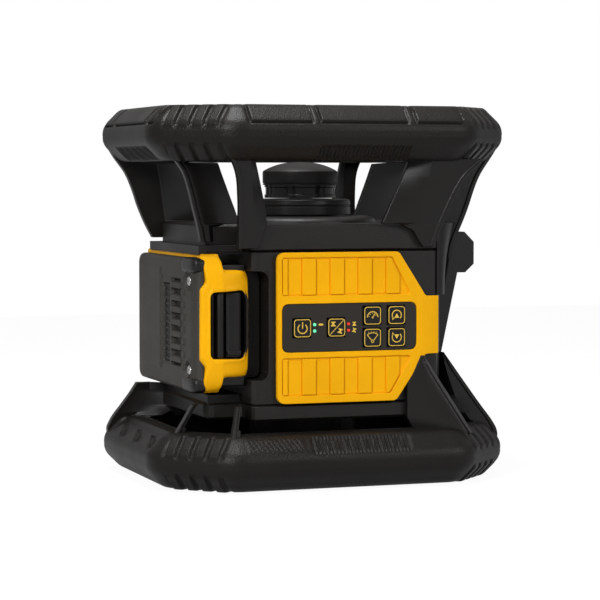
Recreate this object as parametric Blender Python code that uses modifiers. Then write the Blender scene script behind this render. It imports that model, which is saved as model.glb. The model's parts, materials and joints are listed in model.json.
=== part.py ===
"""Rotating laser level in a roll cage: a self-levelling laser head on a gimbal, a housing with a
key pad, a slide-in battery pack, and an upper and a lower ring on flared wings.

Metres, +Z up. X runs across the front, the key pad faces -Y and the battery pack is on the -X side.
The origin is on the ground, under the head's axis."""

import math

import bmesh
import bpy
from mathutils import Euler, Matrix, Vector

# ---- driving dimensions -------------------------------------------------------------------
GAP = 0.0003  # between pieces that touch
WALL = 0.003  # housing walls
ROUND_STEPS = 24  # sides of a turned piece

# Battery pack: it slides in along +Y, and its base faces -X.
PACK_LENGTH = 0.118
PACK_WIDTH = 0.075
PACK_DEPTH = 0.0307  # base to the housing's wall
PACK_BASE_DEPTH = 0.006  # the base shell's share of it
PACK_SHELL = 0.0022
PACK_FRONT_MARGIN = 0.008
PACK_REAR_MARGIN = 0.004
RAIL_WIDTH = 0.061  # the dock's channel
RAIL_DEPTH = 0.010
LATCH_WIDTH = 0.018
LATCH_HEIGHT = 0.038
LATCH_TRAVEL = 0.003
CELL_RADIUS = 0.009
CELL_END_SPACE = 0.0028  # from a cell's end to the shell
CELL_PITCH = 0.0186

# Housing
BODY_LEFT = 0.051  # left wall, beside the pack
FRONT_RIGHT = 0.062  # right end of the front and rear faces
BODY_RIGHT = 0.068
SIDE_REACH = 0.072  # side blocks of the upper and lower housing
SIDE_HALF = 0.046
HOUSING_CORNER = 0.005
SHOULDER_HEIGHT = 0.0153  # upper housing
SKIRT_HEIGHT = 0.0095  # lower housing
TRAY_LEVEL = 0.037  # underside of the lower housing
SHELF_RISE = 0.0045  # the shelf under the pack
LEDGE_REACH = 0.005  # the ledge over the pack, past the side block

# Rings
RING_HEIGHT = 0.031
RING_BREADTH = 0.027
RING_HALF_WIDTH = 0.107
RING_CORNER_CUT = 0.037
RING_CORNER_RADIUS = 0.014
RING_SLOPE = 0.0105  # chamfer of the outer edges, across
RING_SLOPE_RISE = 0.0105  # and up
RING_SKIN = 0.006  # overmould over the core, above and below
RING_INSET = 0.026  # from the ring's outer face to the front wall
WINDOW_HEIGHT = 0.035  # beam window, from the deck to the upper ring

# Wings: plates that carry the rings
WING_THICKNESS = 0.0035
WING_LEAN = 0.0095  # the front and rear ones lean out this much

# Turning head and levelling works
HEAD_RADIUS = 0.022
TURRET_RADIUS = 0.0297
BAND_RADIUS = 0.0209
DECK_HOLE_RADIUS = 0.0275
DISH_RADIUS = 0.038
DISH_DEPTH = 0.0015
NECK_RADIUS = 0.015
NECK_BORE = 0.0113
SHAFT_RADIUS = 0.0068
BEAM_BORE = 0.0035
WHEEL_RADIUS = 0.017
ROLLER_RADIUS = 0.0080
BARREL_RADIUS = 0.0125
BARREL_BORE = 0.009
GIMBAL_INNER = 0.0175
GIMBAL_OUTER = 0.022
GIMBAL_HEIGHT = 0.006
PIVOT_RADIUS = 0.002
ARM_REACH = 0.042  # from the axis to a levelling actuator

# Key pad
TRIM_THICKNESS = 0.0032
PAD_THICKNESS = 0.0028
KEY_SIZE = 0.0104
KEY_PITCH = 0.0125
KEY_TRAVEL = 0.0006
KEY_PROUD = 0.0012
KEY_CLEARANCE = 0.0004

# Tripod threads, 5/8 inch
THREAD_BORE = 0.0079
BASE_INSERT_RADIUS = 0.0125
SIDE_INSERT_RADIUS = 0.0100
MOUNT_REACH = 0.099  # the side mount's face
MOUNT_HALF = 0.028

# ---- derived levels and places ----------------------------------------------------------
FRONT = (PACK_LENGTH + PACK_FRONT_MARGIN + PACK_REAR_MARGIN) / 2
RING_HALF_DEPTH = FRONT + RING_INSET
PACK_FRONT = -FRONT + PACK_FRONT_MARGIN
PACK_REAR = PACK_FRONT + PACK_LENGTH
LOWER_SEAM = TRAY_LEVEL + SKIRT_HEIGHT
SHELF = LOWER_SEAM + SHELF_RISE
PACK_LOW = SHELF + 0.002
PACK_HIGH = PACK_LOW + PACK_WIDTH
PACK_MID = (PACK_LOW + PACK_HIGH) / 2
CELL_LENGTH = PACK_WIDTH - 2 * PACK_SHELL - 2 * CELL_END_SPACE
UPPER_SEAM = PACK_HIGH + 0.0037
DECK = UPPER_SEAM + SHOULDER_HEIGHT
RING_UNDERSIDE = DECK + WINDOW_HEIGHT
HEIGHT = RING_UNDERSIDE + RING_HEIGHT
WING_Y = SIDE_HALF + GAP + WING_THICKNESS  # outer face of the side wings
PACK_INNER = -BODY_LEFT - GAP
PACK_LEFT = PACK_INNER - PACK_DEPTH
PACK_SPLIT = PACK_LEFT + PACK_BASE_DEPTH
CELL_X = PACK_INNER - PACK_SHELL - CELL_RADIUS - GAP
CHANNEL_WALL = -BODY_LEFT + RAIL_DEPTH
PAD_LEVEL = (LOWER_SEAM + UPPER_SEAM) / 2
PAD_BACK = -FRONT - GAP
TRIM_FACE = PAD_BACK - TRIM_THICKNESS
BOARD_FACE = -FRONT + WALL + GAP

DECK_SKIN = DECK - DISH_DEPTH - WALL  # underside of the deck
NECK_TOP = DECK + 0.0107
TURRET_LOW = DECK + 0.0045
TURRET_TOP = NECK_TOP + GAP + 0.0025
TURNTABLE_LOW = TURRET_TOP + 0.0006
TURNTABLE_TOP = TURNTABLE_LOW + 0.0015
BAND_TOP = TURNTABLE_TOP + GAP + 0.0066
HEAD_TOP = RING_UNDERSIDE
WHEEL_LOW = DECK - 0.016
WHEEL_TOP = WHEEL_LOW + 0.0055
PLATE_LOW = DECK - 0.021
PLATE_TOP = PLATE_LOW + 0.003
FLANGE_LOW = DECK - 0.007
FLANGE_TOP = FLANGE_LOW + 0.002
PIVOT_LEVEL = DECK - 0.041
BARREL_LOW = DECK - 0.079
FRAME_LOW = TRAY_LEVEL + WALL + GAP
FRAME_TOP = FRAME_LOW + 0.004
MOTOR_OFFSET = (WHEEL_RADIUS + ROLLER_RADIUS + GAP) / math.sqrt(2)
KEYS = (
    ("key_power", -0.0226, 0.0),
    ("key_slope", -0.0023, 0.0),
    ("key_speed", 0.0192, 0.5),
    ("key_scan", 0.0192, -0.5),
    ("key_turn_left", 0.0338, 0.5),
    ("key_turn_right", 0.0338, -0.5),
)
LAMPS = (("power_light_pipe", -0.0149), ("slope_light_pipe", 0.0053))
LAMP_PITCH = 0.0036

BLACK = ("black_plastic", (0.012, 0.012, 0.012), 0.45, 0.0)
RUBBER = ("black_rubber", (0.015, 0.014, 0.013), 0.75, 0.0)
YELLOW = ("yellow_plastic", (0.93, 0.50, 0.01), 0.45, 0.0)
GREY = ("grey_plastic", (0.06, 0.06, 0.055), 0.6, 0.0)
PAD = ("pad_film", (0.03, 0.03, 0.03), 0.5, 0.0)
STEEL = ("steel", (0.6, 0.6, 0.6), 0.3, 1.0)
BRASS = ("brass", (0.7, 0.5, 0.2), 0.35, 1.0)
GLASS = ("glass", (0.75, 0.85, 0.85), 0.05, 0.0)
ALLOY = ("alloy", (0.5, 0.5, 0.52), 0.4, 1.0)
BOARD = ("circuit_board", (0.02, 0.16, 0.06), 0.5, 0.0)


# ---- scene and materials -------------------------------------------------------------------
for old in list(bpy.data.objects):
    bpy.data.objects.remove(old, do_unlink=True)

PARTS = bpy.data.collections.new("rotating_laser_level")
CUTTERS = bpy.data.collections.new("cutters")
bpy.context.scene.collection.children.link(PARTS)
bpy.context.scene.collection.children.link(CUTTERS)


def material(finish):
    name, colour, roughness, metallic = finish
    found = bpy.data.materials.get(name)
    if found:
        return found
    made = bpy.data.materials.new(name)
    made.use_nodes = True
    shader = made.node_tree.nodes["Principled BSDF"]
    shader.inputs["Base Color"].default_value = (*colour, 1.0)
    shader.inputs["Roughness"].default_value = roughness
    shader.inputs["Metallic"].default_value = metallic
    return made


# ---- shape helpers -----------------------------------------------------------------------
def part(obj, name, finish):
    """Names an object, gives it its finish and puts it among the parts."""
    obj.name = name
    obj.data.name = name
    obj.data.materials.clear()
    obj.data.materials.append(material(finish))
    for collection in list(obj.users_collection):
        collection.objects.unlink(obj)
    PARTS.objects.link(obj)
    return obj


def cutter(obj):
    """Makes an object a guide that cuts or joins, and isn't a part."""
    for collection in list(obj.users_collection):
        collection.objects.unlink(obj)
    CUTTERS.objects.link(obj)
    obj.name = "cutter"
    obj.hide_render = True
    obj.display_type = "WIRE"
    return obj


def face_out(bm):
    """Turns all faces outwards."""
    bmesh.ops.recalc_face_normals(bm, faces=bm.faces)
    if bm.calc_volume(signed=True) < 0:
        bmesh.ops.reverse_faces(bm, faces=bm.faces)


def new_mesh_object(bm):
    mesh = bpy.data.meshes.new("shape")
    face_out(bm)
    bm.to_mesh(mesh)
    bm.free()
    obj = bpy.data.objects.new("shape", mesh)
    bpy.context.scene.collection.objects.link(obj)
    return obj


def box(low, high):
    """A box between two corners, with its origin at its middle."""
    low, high = Vector(low), Vector(high)
    bm = bmesh.new()
    bmesh.ops.create_cube(bm, size=1.0)
    bmesh.ops.scale(bm, vec=high - low, verts=bm.verts)
    obj = new_mesh_object(bm)
    obj.location = (low + high) / 2
    return obj


AXIS_TURN = {"Z": (0, 0, 0), "Y": (-math.pi / 2, 0, 0), "X": (0, math.pi / 2, 0)}


def rod(radius, start, length, axis="Z", sides=ROUND_STEPS, top_radius=None):
    """A cylinder, or a cone, from start along an axis."""
    bm = bmesh.new()
    bmesh.ops.create_cone(
        bm,
        cap_ends=True,
        segments=sides,
        radius1=radius,
        radius2=radius if top_radius is None else top_radius,
        depth=length,
    )
    obj = new_mesh_object(bm)
    turn = Euler(AXIS_TURN[axis])
    obj.rotation_euler = turn
    obj.location = Vector(start) + turn.to_matrix() @ Vector((0, 0, length / 2))
    if sides > 8:
        obj.data.shade_smooth()
        obj.data.set_sharp_from_angle(angle=math.radians(40))
    return obj


def rounded(points, radius, steps=3, inner=True):
    """A closed outline with each corner replaced by an arc of that radius, or less on a short side.
    Without inner, the corners that turn inwards stay sharp."""
    done = []
    count = len(points)
    area = sum(points[i - 1][0] * p[1] - p[0] * points[i - 1][1] for i, p in enumerate(points))
    for i, corner in enumerate(points):
        here = Vector(corner)
        back = Vector(points[i - 1]) - here
        ahead = Vector(points[(i + 1) % count]) - here
        if not inner and (ahead.x * back.y - ahead.y * back.x) * area < 0:
            done.append(here)
            continue
        half = back.angle(ahead) / 2
        reach = min(radius / math.tan(half), 0.45 * back.length, 0.45 * ahead.length)
        start = here + back.normalized() * reach
        end = here + ahead.normalized() * reach
        for k in range(steps + 1):
            t = k / steps
            done.append(start * (1 - t) ** 2 + here * 2 * t * (1 - t) + end * t**2)
    return done


PLANE_TURN = {"Z": (0, 0, 0), "Y": (math.pi / 2, 0, 0), "X": (math.pi / 2, 0, math.pi / 2)}


def plate(outline, low, high, normal="Z"):
    """A flat outline with thickness from low to high along its normal. The outline's axes are X and Y
    for a normal of Z, X and Z for Y, and Y and Z for X. It comes back as a welded mesh."""
    curve = bpy.data.curves.new("outline", "CURVE")
    curve.dimensions = "2D"
    curve.fill_mode = "BOTH"
    curve.extrude = (high - low) / 2
    spline = curve.splines.new("POLY")
    spline.points.add(len(outline) - 1)
    for point, place in zip(spline.points, outline):
        point.co = (place[0], place[1], 0, 1)
    spline.use_cyclic_u = True
    drawn = bpy.data.objects.new("outline", curve)
    bpy.context.scene.collection.objects.link(drawn)
    drawn.rotation_euler = PLANE_TURN[normal]
    middle = (low + high) / 2
    drawn.location = {"Z": (0, 0, middle), "Y": (0, middle, 0), "X": (middle, 0, 0)}[normal]
    return as_mesh(drawn)


def as_mesh(curve_object):
    """The curve's shape as a welded mesh in the same place, with one face for each cap. The curve is
    removed."""
    bpy.context.view_layer.update()
    graph = bpy.context.evaluated_depsgraph_get()
    mesh = bpy.data.meshes.new_from_object(curve_object.evaluated_get(graph))
    bm = bmesh.new()
    bm.from_mesh(mesh)
    bmesh.ops.remove_doubles(bm, verts=bm.verts, dist=1e-6)
    caps = [face for face in bm.faces if abs(face.normal.z) > 0.9 or face.calc_area() < 1e-9]
    inner = [edge for edge in bm.edges if all(face in caps for face in edge.link_faces)]
    bmesh.ops.dissolve_edges(bm, edges=inner, use_verts=False)
    face_out(bm)
    bm.to_mesh(mesh)
    bm.free()
    obj = bpy.data.objects.new("shape", mesh)
    obj.matrix_world = curve_object.matrix_world
    bpy.context.scene.collection.objects.link(obj)
    bpy.data.objects.remove(curve_object, do_unlink=True)
    return obj


def turned(profile, closed=True, steps=ROUND_STEPS):
    """A profile of (radius, height) turned about Z. It runs down its outer side, top to bottom."""
    mesh = bpy.data.meshes.new("profile")
    edges = [(i, i + 1) for i in range(len(profile) - 1)]
    if closed:
        edges.append((len(profile) - 1, 0))
    mesh.from_pydata([(r, 0, z) for r, z in profile], edges, [])
    obj = bpy.data.objects.new("turned", mesh)
    bpy.context.scene.collection.objects.link(obj)
    screw = obj.modifiers.new("turn", "SCREW")
    screw.steps = steps
    screw.render_steps = steps
    screw.use_merge_vertices = True
    screw.merge_threshold = 1e-6
    screw.use_smooth_shade = True
    return obj


def ring(outer, inner, low, high, steps=ROUND_STEPS):
    """A plain turned ring."""
    return turned([(outer, high), (outer, low), (inner, low), (inner, high)], steps=steps)


def cut(obj, *tools):
    for tool in tools:
        change = obj.modifiers.new("cut", "BOOLEAN")
        change.operation = "DIFFERENCE"
        change.solver = "EXACT"
        change.object = cutter(tool)
    return obj


def join(obj, *tools):
    for tool in tools:
        change = obj.modifiers.new("join", "BOOLEAN")
        change.operation = "UNION"
        change.solver = "EXACT"
        change.object = cutter(tool)
    return obj


def bevel(obj, width, segments=1, angle=40):
    change = obj.modifiers.new("bevel", "BEVEL")
    change.width = width
    change.segments = segments
    change.limit_method = "ANGLE"
    change.angle_limit = math.radians(angle)
    return obj


def move(obj, offset):
    obj.location = obj.location + Vector(offset)
    return obj


# ---- rings -----------------------------------------------------------------------------------
def ring_outline(inset):
    """The octagonal ring's outline, moved inwards. Its corners are cut at 45 degrees and rounded."""
    across, deep = RING_HALF_WIDTH - inset, RING_HALF_DEPTH - inset
    corner = RING_CORNER_CUT - inset * (2 - math.sqrt(2))
    points = []
    for sx, sy in ((1, -1), (1, 1), (-1, 1), (-1, -1)):
        pair = [(sx * (across - corner), sy * deep), (sx * across, sy * (deep - corner))]
        points += pair if sx * sy < 0 else pair[::-1]
    return rounded(points, max(RING_CORNER_RADIUS - inset / 2, 0.004))


def swept_ring(section, base, flip):
    """Sweeps a section of (inset, height) round the ring. Each place of the section has its own
    outline, so the corners stay true. flip turns the section upside down."""
    bm = bmesh.new()
    loops = []
    for inset, height in section:
        level = base + (RING_HEIGHT - height if flip else height)
        loops.append([bm.verts.new((x, y, level)) for x, y in ring_outline(inset)])
    for first, second in zip(loops, loops[1:] + loops[:1]):
        for i in range(len(first)):
            j = (i + 1) % len(first)
            bm.faces.new((first[i], first[j], second[j], second[i]))
    return new_mesh_object(bm)


def make_ring(name, base, flip):
    """The rubber overmould is a C that opens inwards, and the core fills it."""
    deep = RING_BREADTH - 0.005
    top = RING_HEIGHT
    skin = [
        (0, RING_SLOPE_RISE),
        (0, top - RING_SLOPE_RISE),
        (RING_SLOPE, top),
        (deep, top),
        (deep, top - RING_SKIN),
        (RING_SLOPE, top - RING_SKIN),
        (RING_SLOPE, RING_SKIN),
        (deep, RING_SKIN),
        (deep, 0),
        (RING_SLOPE, 0),
    ]
    edge = 0.003
    core = [
        (RING_SLOPE + GAP, RING_SKIN + GAP),
        (RING_SLOPE + GAP, top - RING_SKIN - GAP),
        (deep + GAP, top - RING_SKIN - GAP),
        (deep + GAP, top),
        (RING_BREADTH - edge, top),
        (RING_BREADTH, top - edge),
        (RING_BREADTH, edge),
        (RING_BREADTH - edge, 0),
        (deep + GAP, 0),
        (deep + GAP, RING_SKIN + GAP),
    ]
    part(swept_ring(skin, base, flip), name + "_ring_overmould", RUBBER)
    return swept_ring(core, base, flip)


def make_rings():
    """The lower core also carries the floor plate's rim, so both rings are plain loops here."""
    part(make_ring("lower", 0.0, False), "lower_ring_core", BLACK)
    part(make_ring("upper", RING_UNDERSIDE, True), "upper_ring_core", BLACK)


# ---- wings -----------------------------------------------------------------------------------
def side_wing(name, outline, side, face):
    """An upright plate square to Y, with its outer face at that Y. The outline is for +X."""
    inner = face - math.copysign(WING_THICKNESS, face)
    obj = plate([(x * side, z) for x, z in outline], min(face, inner), max(face, inner), "Y")
    part(obj, name, BLACK)


def end_wing(name, outline, side, end, foot):
    """A plate at the front or rear. It stands against the wall at the level foot and leans outwards
    to its other end."""
    obj = plate([(x * side, z) for x, z in outline], 0.0, WING_THICKNESS, "Y")
    levels = [z for _, z in outline]
    far = max(levels) if foot == min(levels) else min(levels)
    bm = bmesh.new()
    bm.from_mesh(obj.data)
    bm.transform(obj.matrix_world)
    for vert in bm.verts:
        lean = WING_LEAN * (vert.co.z - foot) / (far - foot)
        vert.co.y = end * (FRONT + GAP + lean + vert.co.y)
    face_out(bm)
    bm.to_mesh(obj.data)
    bm.free()
    obj.matrix_world = Matrix.Identity(4)
    part(obj, name, BLACK)


def make_upper_wings():
    high = RING_UNDERSIDE - GAP
    deck = DECK + GAP
    foot = UPPER_SEAM + 0.002
    near = FRONT_RIGHT + 0.0013
    broad_side = [
        (0.050, deck),
        (0.063, high),
        (0.0965, high),
        (0.0925, high - 0.006),
        (0.0885, high - 0.016),
        (0.0850, high - 0.028),
        (0.0790, high - 0.043),
        (0.0770, UPPER_SEAM + 0.0055),
        (near, UPPER_SEAM + 0.0055),
        (near, deck),
    ]
    slim_side = [
        (0.050, deck),
        (0.063, high),
        (0.0895, high),
        (0.0850, high - 0.008),
        (0.0810, high - 0.020),
        (0.0780, high - 0.034),
        (0.0760, UPPER_SEAM + 0.0055),
        (near, UPPER_SEAM + 0.0055),
        (near, deck),
    ]
    low = PAD_LEVEL + 0.0168
    wall = BODY_RIGHT + 0.0006
    tail = [(0.0765, UPPER_SEAM + 0.0055), (0.0702, low), (wall, low), (wall, UPPER_SEAM + 0.0054)]
    broad_right = broad_side[:7] + tail + [(near, UPPER_SEAM + 0.0055), (near, deck)]
    slim_right = slim_side[:6] + tail + [(near, UPPER_SEAM + 0.0055), (near, deck)]
    broad_end = [
        (0.0235, deck),
        (0.0410, high),
        (0.0800, high),
        (0.0730, high - 0.008),
        (0.0680, high - 0.017),
        (0.0630, high - 0.029),
        (0.0590, high - 0.041),
        (0.0570, foot),
        (0.0450, foot),
        (0.0450, deck),
    ]
    slim_end = [
        (0.0415, deck),
        (0.0496, high),
        (0.0655, high),
        (0.0625, high - 0.010),
        (0.0610, high - 0.024),
        (0.0605, deck),
        (0.0590, foot),
        (0.0480, foot),
    ]
    side_wing("upper_right_front_wing", broad_right, 1, -WING_Y)
    side_wing("upper_left_rear_wing", broad_side, -1, WING_Y)
    side_wing("upper_left_front_wing", slim_side, -1, -WING_Y)
    side_wing("upper_right_rear_wing", slim_right, 1, WING_Y)
    end_wing("upper_front_right_wing", broad_end, 1, -1, foot)
    end_wing("upper_rear_left_wing", broad_end, -1, 1, foot)
    end_wing("upper_front_left_wing", slim_end, -1, -1, foot)
    end_wing("upper_rear_right_wing", slim_end, 1, 1, foot)


def make_lower_wings():
    low = RING_HEIGHT + GAP
    tray = TRAY_LEVEL
    wall = BODY_RIGHT + 0.0006
    front = FRONT_RIGHT + 0.0013
    head = LOWER_SEAM + 0.0255
    broad_right = [
        (0.0740, low),
        (0.1005, low),
        (0.0705, head),
        (wall, head),
        (wall, LOWER_SEAM),
        (front, LOWER_SEAM - 0.0015),
        (front, tray),
    ]
    slim_right = [
        (0.0740, low),
        (0.0900, low),
        (0.0810, LOWER_SEAM - 0.001),
        (0.0700, LOWER_SEAM + 0.010),
        (wall, LOWER_SEAM + 0.010),
        (wall, LOWER_SEAM),
        (front, LOWER_SEAM - 0.0015),
        (front, tray),
    ]
    broad_left = [
        (0.0740, low),
        (0.1000, low),
        (0.0990, low + 0.004),
        (0.0870, SHELF),
        (SIDE_REACH, SHELF),
        (front, SHELF - 0.005),
        (front, tray),
    ]
    slim_left = [
        (0.0740, low),
        (0.0900, low),
        (0.0810, LOWER_SEAM),
        (SIDE_REACH, LOWER_SEAM),
        (front, LOWER_SEAM - 0.0015),
        (front, tray),
    ]
    broad_end = [
        (0.0460, low),
        (0.0785, low),
        (0.0535, head),
        (0.0522, head),
        (0.0465, LOWER_SEAM + 0.0165),
        (0.0425, LOWER_SEAM + 0.0095),
        (0.0425, tray),
    ]
    slim_end = [(0.0460, low), (0.0665, low), (0.0610, LOWER_SEAM), (0.0410, LOWER_SEAM), (0.0410, tray)]
    side_wing("lower_right_front_wing", broad_right, 1, -WING_Y)
    side_wing("lower_right_rear_wing", slim_right, 1, WING_Y)
    side_wing("lower_left_front_wing", slim_left, -1, -WING_Y)
    side_wing("lower_left_rear_wing", broad_left, -1, WING_Y)
    end_wing("lower_front_right_wing", broad_end, 1, -1, head)
    end_wing("lower_rear_left_wing", broad_end, -1, 1, head)
    end_wing("lower_front_left_wing", slim_end, -1, -1, LOWER_SEAM)
    end_wing("lower_rear_right_wing", slim_end, 1, 1, LOWER_SEAM)


# ---- housing ---------------------------------------------------------------------------------
def cross_outline(inset):
    """Plan of the upper and lower housing: front and rear faces, with a block out to each side."""
    deep, half, reach = FRONT - inset, SIDE_HALF - inset, SIDE_REACH - inset
    right, left = FRONT_RIGHT - inset, -BODY_LEFT + inset
    points = [(right, -deep), (right, -half), (reach, -half), (reach, half), (right, half), (right, deep)]
    points += [(left, deep), (left, half), (-reach, half), (-reach, -half), (left, -half), (left, -deep)]
    return rounded(points, HOUSING_CORNER - inset / 2, inner=False)


def body_outline(inset, left):
    """Plan of the main housing, which is wider beside the mount."""
    deep, right, wide = FRONT - inset, FRONT_RIGHT - inset, BODY_RIGHT - inset
    flank = WING_Y - inset / 2
    points = [(left, -deep), (right - 0.002, -deep), (wide, -flank), (wide, flank)]
    points += [(right - 0.002, deep), (left, deep)]
    return rounded(points, HOUSING_CORNER - inset / 2)


def make_housing():
    low, high = LOWER_SEAM + GAP, UPPER_SEAM - GAP
    body = plate(body_outline(0.0, -BODY_LEFT), low, high)
    inner = CHANNEL_WALL + WALL
    channel_low, channel_high = PACK_MID - RAIL_WIDTH / 2, PACK_MID + RAIL_WIDTH / 2
    span = FRONT - WALL
    cut(body, plate(body_outline(WALL, inner), low - 0.01, high + 0.01))
    cut(body, box((-BODY_LEFT + WALL, -span, low - 0.01), (inner + 0.001, span, channel_low - WALL)))
    cut(body, box((-BODY_LEFT + WALL, -span, channel_high + WALL), (inner + 0.001, span, high + 0.01)))
    cut(body, box((-0.06, -0.08, channel_low), (CHANNEL_WALL, span - 0.001, channel_high)))
    cut(body, box((-0.029, -0.08, PAD_LEVEL - 0.0125), (0.0405, -0.05, PAD_LEVEL + 0.0125)))
    part(body, "main_housing", BLACK)

    upper = bevel(plate(cross_outline(0.0), UPPER_SEAM, DECK), 0.0014)
    cut(upper, plate(cross_outline(WALL), UPPER_SEAM - 0.01, DECK_SKIN))
    cut(upper, rod(DECK_HOLE_RADIUS, (0, 0, 0.1), 0.1, sides=ROUND_STEPS * 2))
    dish_top = DISH_RADIUS + 0.002
    cut(upper, rod(DISH_RADIUS, (0, 0, DECK - DISH_DEPTH), 2 * DISH_DEPTH, "Z", 48, dish_top))
    low_corner = (-SIDE_REACH - LEDGE_REACH, -0.0495, PACK_HIGH + 0.002)
    join(upper, box(low_corner, (PACK_INNER, 0.052, UPPER_SEAM + 0.0033)))
    part(upper, "upper_housing", BLACK)

    lower = bevel(plate(cross_outline(0.0), TRAY_LEVEL, LOWER_SEAM), 0.0014)
    cut(lower, plate(cross_outline(WALL), TRAY_LEVEL + WALL, LOWER_SEAM + 0.01))
    edge = 0.0016
    low_corner = (-SIDE_REACH + edge, -SIDE_HALF + edge, LOWER_SEAM - 0.004)
    join(lower, box(low_corner, (PACK_INNER, SIDE_HALF - edge, SHELF)))
    part(lower, "lower_housing", BLACK)


def make_base():
    """The floor inside the lower ring, with the pedestal that the housing stands on."""
    floor = plate(ring_outline(RING_BREADTH + GAP), 0.003, 0.009)
    join(floor, rod(0.030, (0, 0, 0.006), TRAY_LEVEL - GAP - 0.006, sides=32))
    cut(floor, rod(BASE_INSERT_RADIUS + GAP, (0, 0, 0), 0.021, sides=32))
    part(floor, "base_plate", BLACK)
    insert = ring(BASE_INSERT_RADIUS, THREAD_BORE, 0.0035, 0.0205, 32)
    part(insert, "base_thread_insert", BRASS)


def make_side_mount():
    """The block beside the housing that carries the level on its side."""
    near, far = BODY_RIGHT + GAP, SIDE_REACH + GAP
    top = DECK - 0.006
    seam = UPPER_SEAM - 0.0007
    low = top - 0.024
    outline = [
        (near, LOWER_SEAM + 0.022),
        (0.078, LOWER_SEAM + 0.022),
        (0.0885, low),
        (0.0935, low),
        (MOUNT_REACH, low + 0.005),
        (MOUNT_REACH, top - 0.006),
        (0.0930, top),
        (far, top),
        (far, seam),
        (near, seam),
    ]
    axis = (low + top) / 2
    block = plate(outline, -MOUNT_HALF, MOUNT_HALF, "Y")
    start = (0.078, 0, axis)
    cut(block, rod(SIDE_INSERT_RADIUS + GAP, start, 0.03, "X", 32))
    part(block, "side_mount_block", BLACK)
    insert = ring(SIDE_INSERT_RADIUS, THREAD_BORE, 0, 0.015, 32)
    insert.rotation_euler = (0, math.pi / 2, 0)
    insert.location = (0.078 + GAP, 0, axis)
    part(insert, "side_thread_insert", BRASS)


# ---- key pad ---------------------------------------------------------------------------------
def pad_outline(inset, low=-0.034, high=0.046, half=0.0133):
    points = [(low + inset, -half + inset), (high - inset, -half + inset)]
    points += [(high - inset, half - inset), (low + inset, half - inset)]
    return rounded([(x, PAD_LEVEL + z) for x, z in points], 0.004 - inset / 2)


def make_key_pad():
    low, high = LOWER_SEAM + 0.0004, UPPER_SEAM - 0.0004
    ear_low, ear_high = PAD_LEVEL - 0.0162, PAD_LEVEL + 0.0168
    outline = [
        (-0.037, low),
        (0.034, low),
        (0.052, ear_low),
        (0.0605, ear_low),
        (0.0605, ear_high),
        (0.052, ear_high),
        (0.0355, high),
        (-0.037, high),
    ]
    trim = plate(rounded(outline, 0.003), TRIM_FACE, PAD_BACK, "Y")
    cut(trim, plate(pad_outline(-GAP), TRIM_FACE - 0.001, PAD_BACK + 0.001, "Y"))
    part(trim, "yellow_trim", YELLOW)

    pad = plate(pad_outline(0.0), PAD_BACK - PAD_THICKNESS, PAD_BACK, "Y")
    hole = KEY_SIZE / 2 + KEY_CLEARANCE
    for name, x, row in KEYS:
        z = PAD_LEVEL + row * KEY_PITCH
        cut(pad, box((x - hole, -0.08, z - hole), (x + hole, -0.06, z + hole)))
        half = KEY_SIZE / 2
        face = PAD_BACK - PAD_THICKNESS - KEY_PROUD
        corners = [(x - half, z - half), (x + half, z - half), (x + half, z + half), (x - half, z + half)]
        key = plate(rounded(corners, 0.0022), face, BOARD_FACE - GAP - KEY_TRAVEL, "Y")
        part(bevel(key, 0.0004, angle=60), name, BLACK)
    for name, x in LAMPS:
        behind = PAD_BACK + GAP
        pipe = box((x - 0.001, behind, PAD_LEVEL - 0.004), (x + 0.001, behind + 0.0015, PAD_LEVEL + 0.004))
        for step in (-0.5, 0.5):
            z = PAD_LEVEL + step * LAMP_PITCH
            reach = PAD_THICKNESS + GAP + 0.001
            join(pipe, rod(0.0008, (x, PAD_BACK - PAD_THICKNESS - 0.0002, z), reach, "Y", 12))
            cut(pad, rod(0.0011, (x, -0.08, z), 0.02, "Y", 12))
        part(pipe, name, GLASS)
    part(pad, "key_pad", PAD)
    board = box((-0.036, BOARD_FACE, PAD_LEVEL - 0.016), (0.047, BOARD_FACE + 0.0016, PAD_LEVEL + 0.016))
    part(board, "control_board", BOARD)


# ---- battery pack ----------------------------------------------------------------------------
def pack_outline(inset):
    """Seen from the side, along X: Y and Z."""
    y0, y1, z0, z1 = PACK_FRONT + inset, PACK_REAR - inset, PACK_LOW + inset, PACK_HIGH - inset
    return rounded([(y0, z0), (y1, z0), (y1, z1), (y0, z1)], 0.006 - inset / 2)


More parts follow.
